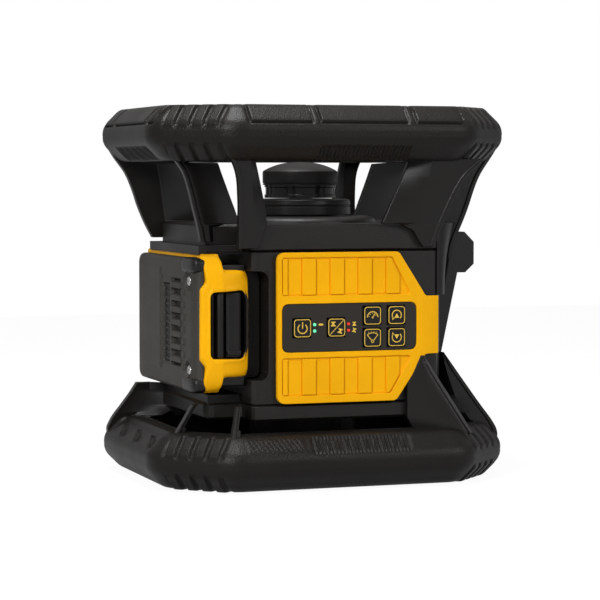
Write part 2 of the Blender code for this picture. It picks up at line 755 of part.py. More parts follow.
def make_battery():
    middle = (PACK_FRONT + PACK_REAR) / 2
    base = bevel(plate(pack_outline(0.0), PACK_LEFT, PACK_SPLIT - GAP, "X"), 0.0012)
    cut(base, plate(pack_outline(PACK_SHELL), PACK_LEFT + PACK_SHELL, PACK_SPLIT + 0.01, "X"))
    part(base, "battery_base_shell", GREY)

    cover = plate(pack_outline(0.0), PACK_SPLIT, PACK_INNER, "X")
    rail_low, rail_high = PACK_MID - RAIL_WIDTH / 2 + GAP, PACK_MID + RAIL_WIDTH / 2 - GAP
    rail_end = PACK_REAR - 0.011
    rail = box((PACK_INNER - 0.001, PACK_FRONT + 0.006, rail_low), (CHANNEL_WALL - GAP, rail_end, rail_high))
    join(cover, rail)
    cut(cover, plate(pack_outline(PACK_SHELL), PACK_SPLIT - 0.01, PACK_INNER - PACK_SHELL, "X"))
    hollow_low, hollow_high = rail_low + 0.003, rail_high - 0.003
    hollow_left = PACK_INNER - PACK_SHELL - 0.001
    hollow_right = CHANNEL_WALL - 0.003
    hollow = ((hollow_left, PACK_FRONT + 0.009, hollow_low), (hollow_right, rail_end - 0.003, hollow_high))
    cut(cover, box(*hollow))
    latch_low, latch_high = PACK_MID - LATCH_HEIGHT / 2, PACK_MID + LATCH_HEIGHT / 2
    side = LATCH_WIDTH / 2
    latch_x = PACK_INNER - PACK_SHELL - 0.001 - side
    before, behind = PACK_FRONT - 0.01, PACK_FRONT + 0.004
    cut(cover, box((latch_x - side, before, latch_low), (latch_x + side, behind, latch_high)))
    part(cover, "battery_cover_shell", YELLOW)

    latch = box(
        (latch_x - side + GAP, PACK_FRONT - 0.0005, latch_low + GAP),
        (latch_x + side - GAP, PACK_FRONT + 0.005, latch_high - GAP),
    )
    part(bevel(latch, 0.0008), "battery_latch", BLACK)

    low, high = PACK_MID - CELL_LENGTH / 2, PACK_MID + CELL_LENGTH / 2
    spots = [middle + (i - 1.6) * CELL_PITCH for i in range(5)]
    cells = rod(CELL_RADIUS, (CELL_X, spots[0], low), CELL_LENGTH)
    for y in spots[1:]:
        join(cells, rod(CELL_RADIUS, (CELL_X, y, low), CELL_LENGTH))
    half = 0.004
    for z in (low - 0.0004, high - 0.0002):
        strap = ((CELL_X - half, spots[0] - half, z), (CELL_X + half, spots[-1] + half, z + 0.0006))
        join(cells, box(*strap))
    part(cells, "battery_cells", ALLOY)

    end = FRONT - WALL - 0.001 - GAP
    near = (-BODY_LEFT + 0.001, rail_end + 0.001, PACK_MID - 0.021)
    block = box(near, (CHANNEL_WALL - GAP, end, PACK_MID + 0.021))
    part(block, "dock_terminal_block", BLACK)


# ---- levelling works and turning head ----------------------------------------------------------
def at_pivot(obj):
    """Moves an object's origin to the gimbal's centre."""
    obj.data.transform(obj.matrix_world)
    obj.data.transform(Matrix.Translation((0, 0, -PIVOT_LEVEL)))
    obj.matrix_world = Matrix.Translation((0, 0, PIVOT_LEVEL))
    return obj


def make_gimbal():
    upright_near, upright_far = GIMBAL_OUTER + 0.003, GIMBAL_OUTER + 0.008
    frame = box((-upright_far, -0.020, FRAME_LOW), (ARM_REACH + 0.010, 0.020, FRAME_TOP))
    join(frame, box((-0.010, 0.010, FRAME_LOW), (0.010, ARM_REACH + 0.010, FRAME_TOP)))
    for side in (-1, 1):
        x0, x1 = sorted((side * upright_near, side * upright_far))
        join(frame, box((x0, -0.007, FRAME_TOP - 0.001), (x1, 0.007, PIVOT_LEVEL + 0.007)))
        cut(frame, rod(PIVOT_RADIUS + GAP, (x0 - 0.001, 0, PIVOT_LEVEL), x1 - x0 + 0.002, "X", 16))
    part(frame, "gimbal_frame", ALLOY)

    half = GIMBAL_HEIGHT / 2
    hoop = at_pivot(ring(GIMBAL_OUTER, GIMBAL_INNER, PIVOT_LEVEL - half, PIVOT_LEVEL + half, 32))
    for side in (-1, 1):
        start = GIMBAL_OUTER - 0.002 if side > 0 else -upright_far + 0.001
        length = upright_far - 0.001 - (GIMBAL_OUTER - 0.002)
        join(hoop, rod(PIVOT_RADIUS, (start, 0, PIVOT_LEVEL), length, "X", 16))
    cut(hoop, rod(PIVOT_RADIUS + GAP, (0, -0.05, PIVOT_LEVEL), 0.1, "Y", 16))
    part(hoop, "gimbal_ring", ALLOY)

    carriage = at_pivot(
        turned(
            [
                (BARREL_RADIUS + 0.010, PLATE_TOP),
                (BARREL_RADIUS + 0.010, PLATE_LOW),
                (BARREL_RADIUS, PLATE_LOW),
                (BARREL_RADIUS, BARREL_LOW),
                (BARREL_BORE, BARREL_LOW),
                (BARREL_BORE, PLATE_TOP),
            ],
            steps=32,
        )
    )
    for angle in (45, 135, 225):
        turn = math.radians(angle)
        spot = WHEEL_RADIUS + 0.0026
        place = (spot * math.cos(turn), spot * math.sin(turn), PLATE_TOP - 0.001)
        join(carriage, rod(0.0021, place, FLANGE_LOW - PLATE_TOP + 0.002, "Z", 12))
    neck = [
        (NECK_RADIUS, NECK_TOP),
        (NECK_RADIUS, FLANGE_TOP),
        (GIMBAL_OUTER, FLANGE_TOP),
        (GIMBAL_OUTER, FLANGE_LOW),
        (NECK_BORE, FLANGE_LOW),
        (NECK_BORE, NECK_TOP),
    ]
    join(carriage, turned(neck, steps=32))
    ear = BARREL_BORE + 0.004
    join(carriage, box((ear, -0.005, PLATE_LOW), (ARM_REACH + 0.004, 0.005, PLATE_TOP)))
    join(carriage, box((-0.005, ear, PLATE_LOW), (0.005, ARM_REACH + 0.004, PLATE_TOP)))
    join(carriage, rod(0.0085, (MOTOR_OFFSET, -MOTOR_OFFSET, PLATE_LOW), PLATE_TOP - PLATE_LOW, "Z", 24))
    cut(carriage, rod(0.0020, (MOTOR_OFFSET, -MOTOR_OFFSET, PLATE_LOW - 0.01), 0.02, "Z", 16))
    for side in (-1, 1):
        start = BARREL_RADIUS - 0.002 if side > 0 else -GIMBAL_OUTER + 0.001
        length = GIMBAL_OUTER - 0.001 - (BARREL_RADIUS - 0.002)
        join(carriage, rod(PIVOT_RADIUS, (0, start, PIVOT_LEVEL), length, "Y", 16))
    part(carriage, "laser_carriage", ALLOY)

    module = rod(BARREL_BORE - GAP, (0, 0, BARREL_LOW + 0.006), 0.036)
    part(module, "laser_module", BRASS)
    motor = rod(0.008, (MOTOR_OFFSET, -MOTOR_OFFSET, PLATE_LOW - GAP - 0.0132), 0.0132)
    part(motor, "spin_motor", STEEL)
    for name, x, y in (("levelling_actuator_x", ARM_REACH, 0.0), ("levelling_actuator_y", 0.0, ARM_REACH)):
        low = FRAME_TOP + GAP
        body = [(0.0015, PLATE_LOW - 0.008), (0.0015, low + 0.040), (0.008, low + 0.040), (0.008, low)]
        actuator = turned([(0, PLATE_LOW - 0.008)] + body + [(0, low)], closed=False)
        part(move(actuator, (x, y, 0)), name, STEEL)


def make_head():
    bearing = ring(NECK_BORE - GAP, SHAFT_RADIUS + GAP, FLANGE_LOW + 0.001, NECK_TOP - 0.002, 32)
    part(bearing, "neck_bearing", STEEL)
    shaft = turned(
        [
            (BAND_RADIUS - 0.0005, TURNTABLE_TOP),
            (BAND_RADIUS - 0.0005, TURNTABLE_LOW),
            (SHAFT_RADIUS, TURNTABLE_LOW),
            (SHAFT_RADIUS, PLATE_TOP + GAP),
            (BEAM_BORE, PLATE_TOP + GAP),
            (BEAM_BORE, TURNTABLE_TOP),
        ],
        steps=32,
    )
    part(shaft, "head_spindle", STEEL)
    part(ring(WHEEL_RADIUS, SHAFT_RADIUS + GAP, WHEEL_LOW, WHEEL_TOP, 32), "drive_wheel", GREY)
    stub = 0.0016
    profile = [(0, WHEEL_TOP), (ROLLER_RADIUS, WHEEL_TOP), (ROLLER_RADIUS, WHEEL_LOW)]
    profile += [(stub, WHEEL_LOW), (stub, PLATE_LOW), (0, PLATE_LOW)]
    roller = move(turned(profile, closed=False), (MOTOR_OFFSET, -MOTOR_OFFSET, 0))
    part(roller, "motor_roller", RUBBER)

    turret = turned(
        [
            (TURRET_RADIUS - 0.0015, TURRET_TOP),
            (TURRET_RADIUS, TURRET_TOP - 0.0015),
            (TURRET_RADIUS, TURRET_LOW),
            (TURRET_RADIUS - 0.0025, TURRET_LOW),
            (TURRET_RADIUS - 0.0025, NECK_TOP + GAP),
            (SHAFT_RADIUS + 0.001, NECK_TOP + GAP),
            (SHAFT_RADIUS + 0.001, TURRET_TOP),
        ],
        steps=48,
    )
    part(turret, "turret_collar", BLACK)
    band_low = TURNTABLE_TOP + GAP
    part(ring(BAND_RADIUS, BAND_RADIUS - 0.0025, band_low, BAND_TOP, 48), "head_window", GLASS)
    low = BAND_TOP + GAP
    rim = HEAD_RADIUS
    cap = turned(
        [
            (0, HEAD_TOP),
            (rim * 0.35, HEAD_TOP - 0.0003),
            (rim * 0.68, HEAD_TOP - 0.0015),
            (rim * 0.9, HEAD_TOP - 0.0035),
            (rim, HEAD_TOP - 0.006),
            (rim, low),
            (rim - 0.004, low),
            (rim - 0.004, HEAD_TOP - 0.006),
            (0, HEAD_TOP - 0.004),
        ],
        closed=False,
        steps=48,
    )
    part(cap, "head_cap", BLACK)
    size = 0.0055
    base = band_low
    prism = plate(
        [(-size, base), (size, base), (size, base + 0.010), (-0.001, base + 0.0125), (-size, base + 0.009)],
        -size,
        size,
        "Y",
    )
    part(prism, "beam_prism", GLASS)


make_rings()
make_upper_wings()
make_lower_wings()
make_housing()
make_base()
make_side_mount()
make_key_pad()
make_battery()
make_gimbal()
make_head()
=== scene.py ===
"""Looks of a rotating laser level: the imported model's frame, dressed with detailed mesh pieces and
procedural materials, on a white floor in soft studio light. Metres, +Z up, key pad facing -Y."""

import json
import math

import bmesh
import bpy
import numpy as np
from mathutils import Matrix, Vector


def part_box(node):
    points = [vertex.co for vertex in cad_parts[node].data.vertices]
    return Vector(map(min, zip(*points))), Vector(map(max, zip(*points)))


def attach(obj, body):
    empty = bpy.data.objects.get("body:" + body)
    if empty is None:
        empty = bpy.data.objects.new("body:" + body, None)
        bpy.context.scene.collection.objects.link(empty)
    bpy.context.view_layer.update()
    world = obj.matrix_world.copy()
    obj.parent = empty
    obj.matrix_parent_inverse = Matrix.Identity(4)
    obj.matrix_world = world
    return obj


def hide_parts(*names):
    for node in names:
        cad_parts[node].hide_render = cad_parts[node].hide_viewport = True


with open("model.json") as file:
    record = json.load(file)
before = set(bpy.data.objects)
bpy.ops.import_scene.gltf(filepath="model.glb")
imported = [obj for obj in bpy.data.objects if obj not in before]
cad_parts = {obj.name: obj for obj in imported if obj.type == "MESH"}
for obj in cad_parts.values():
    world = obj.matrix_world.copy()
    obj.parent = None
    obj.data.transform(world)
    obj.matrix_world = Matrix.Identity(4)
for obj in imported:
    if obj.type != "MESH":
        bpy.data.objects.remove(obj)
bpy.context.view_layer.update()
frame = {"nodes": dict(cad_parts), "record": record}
NODES = frame["nodes"]
MM = 0.001


# ---- mesh tools ------------------------------------------------------------------------------
def facing_out(verts, faces):
    """The faces, all turned over where the volume they enclose comes out negative. It is the sum
    of a . (b x c) / 6 over their triangles."""
    verts = np.asarray(verts, float)
    fans = np.array([(f[0], f[i], f[i + 1]) for f in faces for i in range(1, len(f) - 1)])
    a, b, c = verts[fans[:, 0]], verts[fans[:, 1]], verts[fans[:, 2]]
    if np.einsum("ij,ij->", a, np.cross(b, c)) < 0:
        return [list(f)[::-1] for f in faces]
    return faces


def piece(name, verts, faces, mat, body="housing", sharp=38, replaces=(), bevel=0.0, slot=None):
    """An object with its vertices in place and its origin at zero. Edges over the sharp angle stay
    crisp, and a bevel rounds them."""
    mesh = bpy.data.meshes.new(name)
    outer = [tuple(face) for face in facing_out(verts, faces)]
    mesh.from_pydata(np.asarray(verts, float).tolist(), [], outer)
    mesh.validate()
    mesh.update()
    obj = bpy.data.objects.new(name, mesh)
    bpy.context.scene.collection.objects.link(obj)
    mesh.materials.append(mat)
    mesh.shade_smooth()
    mesh.set_sharp_from_angle(angle=math.radians(sharp))
    if bevel:
        change = obj.modifiers.new("bevel", "BEVEL")
        change.width = bevel
        change.segments = 2
        change.limit_method = "ANGLE"
        change.angle_limit = math.radians(30)
    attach(obj, body)
    if replaces:
        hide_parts(*replaces)


def grid_faces(nu, nv, close_u=False, close_v=False):
    """Quads of a grid of nu by nv points, numbered u * nv + v, joined round where closed."""
    u = np.arange(nu if close_u else nu - 1)
    v = np.arange(nv if close_v else nv - 1)
    a, b = np.meshgrid(u, v, indexing="ij")
    a2, b2 = (a + 1) % nu, (b + 1) % nv
    return np.stack([a * nv + b, a2 * nv + b, a2 * nv + b2, a * nv + b2], -1).reshape(-1, 4).tolist()


def loft(loops):
    """Faces through closed loops of equal length, with both ends capped."""
    n, m = len(loops), len(loops[0])
    faces = grid_faces(n, m, close_v=True)
    faces.append(list(range(m)))
    faces.append([(n - 1) * m + i for i in reversed(range(m))])
    return np.concatenate(loops), faces


def merged(parts):
    """Several (vertices, faces) as one, each with its faces outwards."""
    verts, faces, at = [], [], 0
    for v, f in parts:
        verts.append(np.asarray(v, float))
        faces += [[i + at for i in face] for face in facing_out(v, f)]
        at += len(v)
    return np.concatenate(verts), faces


def mm(points):
    return [tuple(c * MM for c in p) for p in points]


def rectangle(a0, a1, b0, b1):
    return [(a0, b0), (a1, b0), (a1, b1), (a0, b1)]


def rounded(points, radius, steps=5):
    """A closed outline whose corners are arcs: q(t) = a(1-t)^2 + 2ct(1-t) + bt^2 between points a
    and b at an equal reach from the corner c, at most 0.48 of a side. radius may be a list."""
    out = []
    points = [np.array(p, float) for p in points]
    for i, c in enumerate(points):
        r = radius[i] if isinstance(radius, (list, tuple)) else radius
        back, ahead = points[i - 1] - c, points[(i + 1) % len(points)] - c
        lb, la = np.linalg.norm(back), np.linalg.norm(ahead)
        turn = math.acos(np.clip(back @ ahead / (lb * la), -1, 1))
        reach = min(r / math.tan(turn / 2), 0.48 * lb, 0.48 * la)
        if r <= 0:
            out.append(c)
            continue
        a, b = c + back / lb * reach, c + ahead / la * reach
        for k in range(steps + 1):
            t = k / steps
            out.append(a * (1 - t) ** 2 + 2 * c * t * (1 - t) + b * t * t)
    return np.array(out)


def placed(outline, level, axis):
    """A flat outline at a level along an axis: X takes (y, z), Y takes (x, z), Z takes (x, y)."""
    o = np.asarray(outline, float)
    full = np.full(len(o), level)
    order = {"X": (full, o[:, 0], o[:, 1]), "Y": (o[:, 0], full, o[:, 1]), "Z": (o[:, 0], o[:, 1], full)}
    return np.stack(order[axis], -1)


def prism(outline, low, high, axis):
    return loft([placed(outline, low, axis), placed(outline, high, axis)])


def lathe(profile, steps=72, closed=True):
    """A profile of (radius, height) turned about Z: (r cos a, r sin a, h)."""
    p = np.array(profile, float)
    a = np.linspace(0, 2 * math.pi, steps, endpoint=False)[:, None]
    z = np.repeat(p[None, :, 1], steps, 0)
    verts = np.stack([p[None, :, 0] * np.cos(a), p[None, :, 0] * np.sin(a), z], -1)
    return verts.reshape(-1, 3), grid_faces(steps, len(p), True, closed)


def to_bmesh(verts, faces):
    bm = bmesh.new()
    made = [bm.verts.new(v) for v in verts]
    for face in faces:
        bm.faces.new([made[i] for i in face])
    return bm


def from_bmesh(bm):
    bm.verts.index_update()
    result = np.array([v.co[:] for v in bm.verts]), [[v.index for v in f.verts] for f in bm.faces]
    bm.free()
    return result


def outward(verts, faces):
    """A closed shape with its doubled points merged and its faces turned outwards."""
    bm = to_bmesh(verts, faces)
    bmesh.ops.remove_doubles(bm, verts=bm.verts[:], dist=1e-6)
    bmesh.ops.dissolve_degenerate(bm, edges=bm.edges[:], dist=1e-7)
    bmesh.ops.recalc_face_normals(bm, faces=bm.faces[:])
    return from_bmesh(bm)


def soft(x, low, high, edge):
    """1 between low and high and 0 outside, with smooth flanks: s(t) = t * t * (3 - 2t)."""
    up = np.clip((x - low) / edge + 0.5, 0, 1)
    down = np.clip((high - x) / edge + 0.5, 0, 1)
    return up * up * (3 - 2 * up) * down * down * (3 - 2 * down)


# ---- materials ------------------------------------------------------------------------------
def new_group(name, inputs, outputs):
    """A shader group with number inputs and their defaults, and outputs by socket type."""
    group = bpy.data.node_groups.new(name, "ShaderNodeTree")
    for label, value in inputs.items():
        socket = group.interface.new_socket(name=label, in_out="INPUT", socket_type="NodeSocketFloat")
        socket.default_value = value
    for label, kind in outputs.items():
        group.interface.new_socket(name=label, in_out="OUTPUT", socket_type="NodeSocket" + kind)
    return group, group.nodes.new("NodeGroupInput").outputs, group.nodes.new("NodeGroupOutput").inputs


def shader_node(tree, kind, values=None, **settings):
    """A node with its own settings, and then the values of its sockets."""
    node = tree.nodes.new("ShaderNode" + kind)
    for label, value in settings.items():
        setattr(node, label, value)
    for label, value in (values or {}).items():
        node.inputs[label].default_value = value
    return node


def math_node(tree, operation, a, b, clamp=False):
    node = shader_node(tree, "Math", operation=operation, use_clamp=clamp)
    for i, value in enumerate((a, b)):
        if isinstance(value, (int, float)):
            node.inputs[i].default_value = value
        else:
            tree.links.new(value, node.inputs[i])
    return node.outputs[0]


def grain_group():
    """Moulded grain: fine pits and a slow waviness, as a normal, a value that varies slowly, and a
    mask of the edges, from how far a rounded normal turns from the face's own."""
    g, given, out = new_group(
        "moulded_grain", {"Scale": 2500.0, "Depth": 0.2, "Radius": 0.0005},
        {"Normal": "Vector", "Variation": "Float", "Edge": "Float"},
    )
    link = g.links.new
    place = shader_node(g, "TexCoord").outputs["Object"]
    pits = shader_node(g, "TexVoronoi", {"Smoothness": 0.6}, feature="SMOOTH_F1")
    link(place, pits.inputs["Vector"])
    link(given["Scale"], pits.inputs["Scale"])
    wave = shader_node(g, "TexNoise", {"Scale": 38.0, "Detail": 5.0})
    link(place, wave.inputs["Vector"])
    round_edge = shader_node(g, "Bevel", samples=4)
    link(given["Radius"], round_edge.inputs["Radius"])
    bump = shader_node(g, "Bump", {"Distance": 0.00035})
    link(given["Depth"], bump.inputs["Strength"])
    height = math_node(g, "MULTIPLY", wave.outputs["Fac"], 1.2)
    link(math_node(g, "ADD", pits.outputs["Distance"], height), bump.inputs["Height"])
    link(round_edge.outputs[0], bump.inputs["Normal"])
    link(bump.outputs[0], out["Normal"])
    link(wave.outputs["Fac"], out["Variation"])
    facing = shader_node(g, "VectorMath", operation="DOT_PRODUCT")
    link(round_edge.outputs[0], facing.inputs[0])
    link(shader_node(g, "NewGeometry").outputs["Normal"], facing.inputs[1])
    away = math_node(g, "SUBTRACT", 1.0, facing.outputs["Value"], True)
    link(math_node(g, "MULTIPLY", away, 6.0, True), out["Edge"])
    return g


def dust_group():
    """Fine dust, more on faces that look up, broken by noise, and a broad noise for rubbed patches."""
    g, given, out = new_group("dust_and_rub", {"Amount": 0.2}, {"Dust": "Float", "Rub": "Float"})
    link = g.links.new
    place = shader_node(g, "TexCoord").outputs["Object"]
    noise = shader_node(g, "TexNoise", {"Scale": 120.0, "Detail": 8.0})
    link(place, noise.inputs["Vector"])
    split = shader_node(g, "SeparateXYZ")
    link(shader_node(g, "NewGeometry").outputs["Normal"], split.inputs[0])
    up = math_node(g, "MULTIPLY", math_node(g, "ADD", split.outputs["Z"], 0.25, True), 0.8, True)
    specks = math_node(g, "MULTIPLY", math_node(g, "SUBTRACT", noise.outputs["Fac"], 0.42), 3.5, True)
    link(math_node(g, "MULTIPLY", math_node(g, "MULTIPLY", up, specks), given["Amount"]), out["Dust"])
    broad = shader_node(g, "TexNoise", {"Scale": 22.0, "Detail": 6.0})
    link(place, broad.inputs["Vector"])
    link(broad.outputs["Fac"], out["Rub"])
    return g


GRAIN, DUST = grain_group(), dust_group()
DUST_COLOUR = (0.32, 0.30, 0.27)
DARKER, LIGHTER = 0.86, 1.12  # how far the base colour drifts
GLASS_IOR = 1.49


def surface(name, colour, rough=0.5, metal=0.0, scale=2500.0, depth=0.2, radius=0.0004, edge=None,
            edge_wear_and_highlight=0.35, dust=0.1, emit=None, glass=0.0, shine=0.5):
    """A finished material: a base colour that drifts a little, grain, rounded edges lightened as painted highlight and
    some wear, dust on top, and roughness that follows the rubbed patches."""
    mat = bpy.data.materials.new(name)
    mat.use_nodes = True
    t = mat.node_tree
    shader = t.nodes["Principled BSDF"]
    grain = shader_node(t, "Group", {"Scale": scale, "Depth": depth, "Radius": radius}, node_tree=GRAIN)
    dusty = shader_node(t, "Group", {"Amount": dust}, node_tree=DUST)

    def mix(factor, a, b):
        node = shader_node(t, "Mix", data_type="RGBA")
        t.links.new(factor, node.inputs["Factor"])
        for socket, value in ((node.inputs["A"], a), (node.inputs["B"], b)):
            if isinstance(value, tuple):
                socket.default_value = (*value, 1.0)
            else:
                t.links.new(value, socket)
        return node.outputs["Result"]

    darker = tuple(c * DARKER for c in colour)
    lighter = tuple(min(1.0, c * LIGHTER) for c in colour)
    base = mix(grain.outputs["Variation"], darker, lighter)
    # Edges are mixed towards the edge colour by the edge mask: a painted highlight along the edges, with a little
    # wear.
    edge_wear_and_highlight_colour = edge or tuple(min(1.0, c * 1.8 + 0.004) for c in colour)
    base = mix(math_node(t, "MULTIPLY", grain.outputs["Edge"], edge_wear_and_highlight), base, edge_wear_and_highlight_colour)
    t.links.new(mix(dusty.outputs["Dust"], base, DUST_COLOUR), shader.inputs["Base Color"])
    shift = math_node(t, "MULTIPLY", math_node(t, "SUBTRACT", dusty.outputs["Rub"], 0.5), 0.30)
    t.links.new(math_node(t, "ADD", shift, rough, True), shader.inputs["Roughness"])
    t.links.new(grain.outputs["Normal"], shader.inputs["Normal"])
    shader.inputs["Metallic"].default_value = metal
    shader.inputs["Specular IOR Level"].default_value = shine
    if emit:
        shader.inputs["Emission Color"].default_value = (*emit, 1.0)
        shader.inputs["Emission Strength"].default_value = 1.0
    if glass:
        shader.inputs["Transmission Weight"].default_value = glass
        shader.inputs["IOR"].default_value = GLASS_IOR
    return mat


# The edge colours below are painted highlights: light lines along the edges of the black, rubber and yellow parts,
# where the top light catches them.
BLACK_EDGE_HIGHLIGHT = (0.030, 0.027, 0.023)
BLACK = surface("satin_black_plastic", (0.0056, 0.0050, 0.0043), 0.36, scale=2600, depth=0.10,
                dust=0.012, shine=0.30, edge=BLACK_EDGE_HIGHLIGHT, edge_wear_and_highlight=0.5)
SHELL = surface("grained_black_plastic", (0.0062, 0.0055, 0.0047), 0.42, scale=1700, depth=0.22,
                dust=0.015, shine=0.32, edge=BLACK_EDGE_HIGHLIGHT, edge_wear_and_highlight=0.5)
RUBBER = surface("black_rubber", (0.0066, 0.0058, 0.0050), 0.42, scale=1300, depth=0.34,
                 dust=0.010, shine=0.20, edge=(0.032, 0.029, 0.025), edge_wear_and_highlight=0.6)
YELLOW = surface("yellow_plastic", (0.93, 0.435, 0.002), 0.42, scale=3200, depth=0.06,
                 dust=0.004, shine=0.10, edge=(1.0, 0.58, 0.02), edge_wear_and_highlight=0.25)
GREY = surface("grey_grained_plastic", (0.030, 0.027, 0.022), 0.55, scale=1500, depth=0.45,
               dust=0.03, shine=0.35)
DARK = surface("dark_plastic", (0.0055, 0.0050, 0.0045), 0.34, scale=2600, depth=0.08,
               dust=0.006, shine=0.3)
PAD = surface("key_film", (0.021, 0.0175, 0.0140), 0.45, scale=3600, depth=0.05, dust=0.01, shine=0.25)
PRINT = surface("printed_yellow", (0.78, 0.50, 0.06), 0.5, scale=3600, depth=0.03, dust=0.0, radius=0.0001)
STEEL = surface("turned_steel", (0.56, 0.56, 0.55), 0.28, metal=1.0, scale=1800, depth=0.08, dust=0.02)
BRASS = surface("turned_brass", (0.70, 0.47, 0.18), 0.32, metal=1.0, scale=1800, depth=0.08, dust=0.02)
ALLOY = surface("cast_alloy", (0.46, 0.46, 0.47), 0.45, metal=1.0, scale=900, depth=0.25, dust=0.02)
BOARD = surface("circuit_board", (0.02, 0.13, 0.05), 0.4, scale=2200, depth=0.12, dust=0.02)
GLASS = surface("clear_glass", (0.78, 0.84, 0.82), 0.06, scale=400, depth=0.02, dust=0.01, glass=0.9)
SMOKED = surface("smoked_window", (0.012, 0.012, 0.011), 0.16, scale=400, depth=0.02, dust=0.01, shine=0.3)
LAMP_GREEN = surface("green_lamp", (0.05, 0.55, 0.25), 0.3, depth=0.02, emit=(0.16, 0.80, 0.40))
LAMP_RED = surface("red_lamp", (0.50, 0.03, 0.02), 0.3, depth=0.02, emit=(0.45, 0.01, 0.008))

FINISH = {
    "black_plastic": BLACK,
    "black_rubber": RUBBER,
    "yellow_plastic": YELLOW,
    "grey_plastic": GREY,
    "pad_film": PAD,
    "steel": STEEL,
    "brass": BRASS,
    "glass": GLASS,
    "alloy": ALLOY,
    "circuit_board": BOARD,
}
for entry in frame["record"]["subparts"]:
    for used in NODES[entry["node"]].material_slots:
        used.material = FINISH[entry["material_slot"]]
for name, mat in {
    "power_light_pipe": LAMP_GREEN,
    "slope_light_pipe": LAMP_RED,
    "main_housing": SHELL,
    "lower_housing": SHELL,
    "upper_housing": SHELL,
    "side_mount_block": SHELL,
    "base_plate": SHELL,
}.items():
    NODES[name].material_slots[0].material = mat


# ---- bumper rings ----------------------------------------------------------------------------
HALF_X, HALF_Y = 107 * MM, 91 * MM
RING_CUT = 37 * MM  # what each corner takes off a side
RING_ROUND = 22 * MM
RING_DEEP, RING_TALL = 22 * MM, 31 * MM  # the overmould's section, across and up
RING_SLOPE = 10.5 * MM
ALONG_STEP = 0.54 * MM  # between points along a side
ARC_STEPS = 12
SECTION_POINTS = 58
LONG_SIDES, END_SIDES, CORNERS = (2, 6), (0, 4), (1, 3, 5, 7)


def octagon(inset):
    """Corners of the ring's plan moved inwards by inset, anticlockwise from the +X side."""
    x, y, cut = HALF_X - inset, HALF_Y - inset, RING_CUT - inset * (2 - math.sqrt(2))
    return np.array([
        (x, cut - y), (x, y - cut), (x - cut, y), (cut - x, y),
        (-x, y - cut), (-x, cut - y), (cut - x, -y), (x - cut, -y),
    ])


def ring_loop(inset):
    """The octagon with round corners: (x, y), the side's number and the distance along that side
    from its middle. Sides are numbered +X, corner, +Y, corner, and so on. A loop has the same
    number of points at every inset."""
    corners, plain = octagon(inset), octagon(0)
    reach = max(RING_ROUND - inset * 0.86, 3 * MM) * math.tan(math.pi / 8)
    points, sides, along = [], [], []
    for i in range(8):
        a, b, c = (corners[k % 8] for k in (i, i + 1, i + 2))
        step = (b - a) / np.linalg.norm(b - a)
        first, last = a + step * reach, b - step * reach
        after = b + (c - b) / np.linalg.norm(c - b) * reach
        n = int(round(np.linalg.norm(plain[(i + 1) % 8] - plain[i]) / ALONG_STEP))
        side = [first + (last - first) * k / n for k in range(n)]
        for t in np.arange(ARC_STEPS) / ARC_STEPS:
            side.append(last * (1 - t) ** 2 + 2 * b * t * (1 - t) + after * t * t)
        points += side
        sides += [i] * len(side)
        along += [(p - (a + b) / 2) @ step for p in side]
    return np.array(points), np.array(sides), np.array(along)


def ring_section():
    """Outer line of the overmould from the top lip to the bottom lip, rounded and evenly spaced:
    (inset, height), and the distance along it."""
    line = rounded(
        [(RING_DEEP, RING_TALL), (RING_SLOPE, RING_TALL), (0, RING_TALL - RING_SLOPE), (0, RING_SLOPE),
         (RING_SLOPE, 0), (RING_DEEP, 0)],
        [0, 9 * MM, 10.5 * MM, 10.5 * MM, 9 * MM, 0],
    )
    run = np.concatenate([[0], np.cumsum(np.linalg.norm(np.diff(line, axis=0), axis=1))])
    even = np.linspace(0, run[-1], SECTION_POINTS)
    return np.stack([np.interp(even, run, line[:, k]) for k in (0, 1)], -1), even


def corner_ribs(s):
    """Four ribs across a corner face: 0.9 up on a rib and 0.9 down between them, in mm."""
    ribs = sum(soft(s, centre - 3.0, centre + 3.0, 1.4) for centre in (-13.5, -4.5, 4.5, 13.5))
    return soft(s, -19, 19, 2.0) * (1.8 * ribs - 0.9)


def grooves(along):
    """Depth of fine grooves across the ring, 2.16 mm apart, in mm."""
    return 1.1 * (0.2 + 0.8 * (0.5 + 0.5 * np.cos(2 * math.pi * along / 2.16)))


def upper_relief(side, s, q):
    """Height of the mouldings on the upper ring: sunk outlines round pads on the upper slope, ribs
    on the corners, fine grooves under the band. q runs from the top lip, 0, to the bottom lip,
    62 mm."""
    s, q = s / MM, q / MM
    rise = np.zeros(s.shape)
    along = s * np.where(side <= 2, -1.0, 1.0)
    for which, sunk, pads in ((LONG_SIDES, 1.0, ((-59, -24), (-18.5, 32), (38, 66))),
                              (END_SIDES, 1.7, ((-50, -30), (-26, 41), (45, 52)))):
        for low, high in pads:
            pad = soft(along, low, high, 1.2) * soft(q, 4.0, 24.0, 1.2)
            gap = soft(along, low - 1.3, high + 1.3, 1.2) * soft(q, 2.7, 25.3, 1.2) - pad
            rise += np.isin(side, which) * (pad * 0.6 - gap * sunk)
    rise -= 0.25 * soft(q, 31.0, 31.8, 0.8)
    rise += np.isin(side, CORNERS) * corner_ribs(s) * (soft(q, 7.0, 26.5, 2.0) + soft(q, 36.5, 50.5, 2.0))
    grooved = np.isin(side, LONG_SIDES) * soft(along, -18.5, 35, 1.0)
    grooved = grooved + np.isin(side, END_SIDES) * soft(along, -26, 41, 1.0)
    rise -= grooved * soft(q, 38.5, 49.5, 1.2) * grooves(along)
    return rise * MM


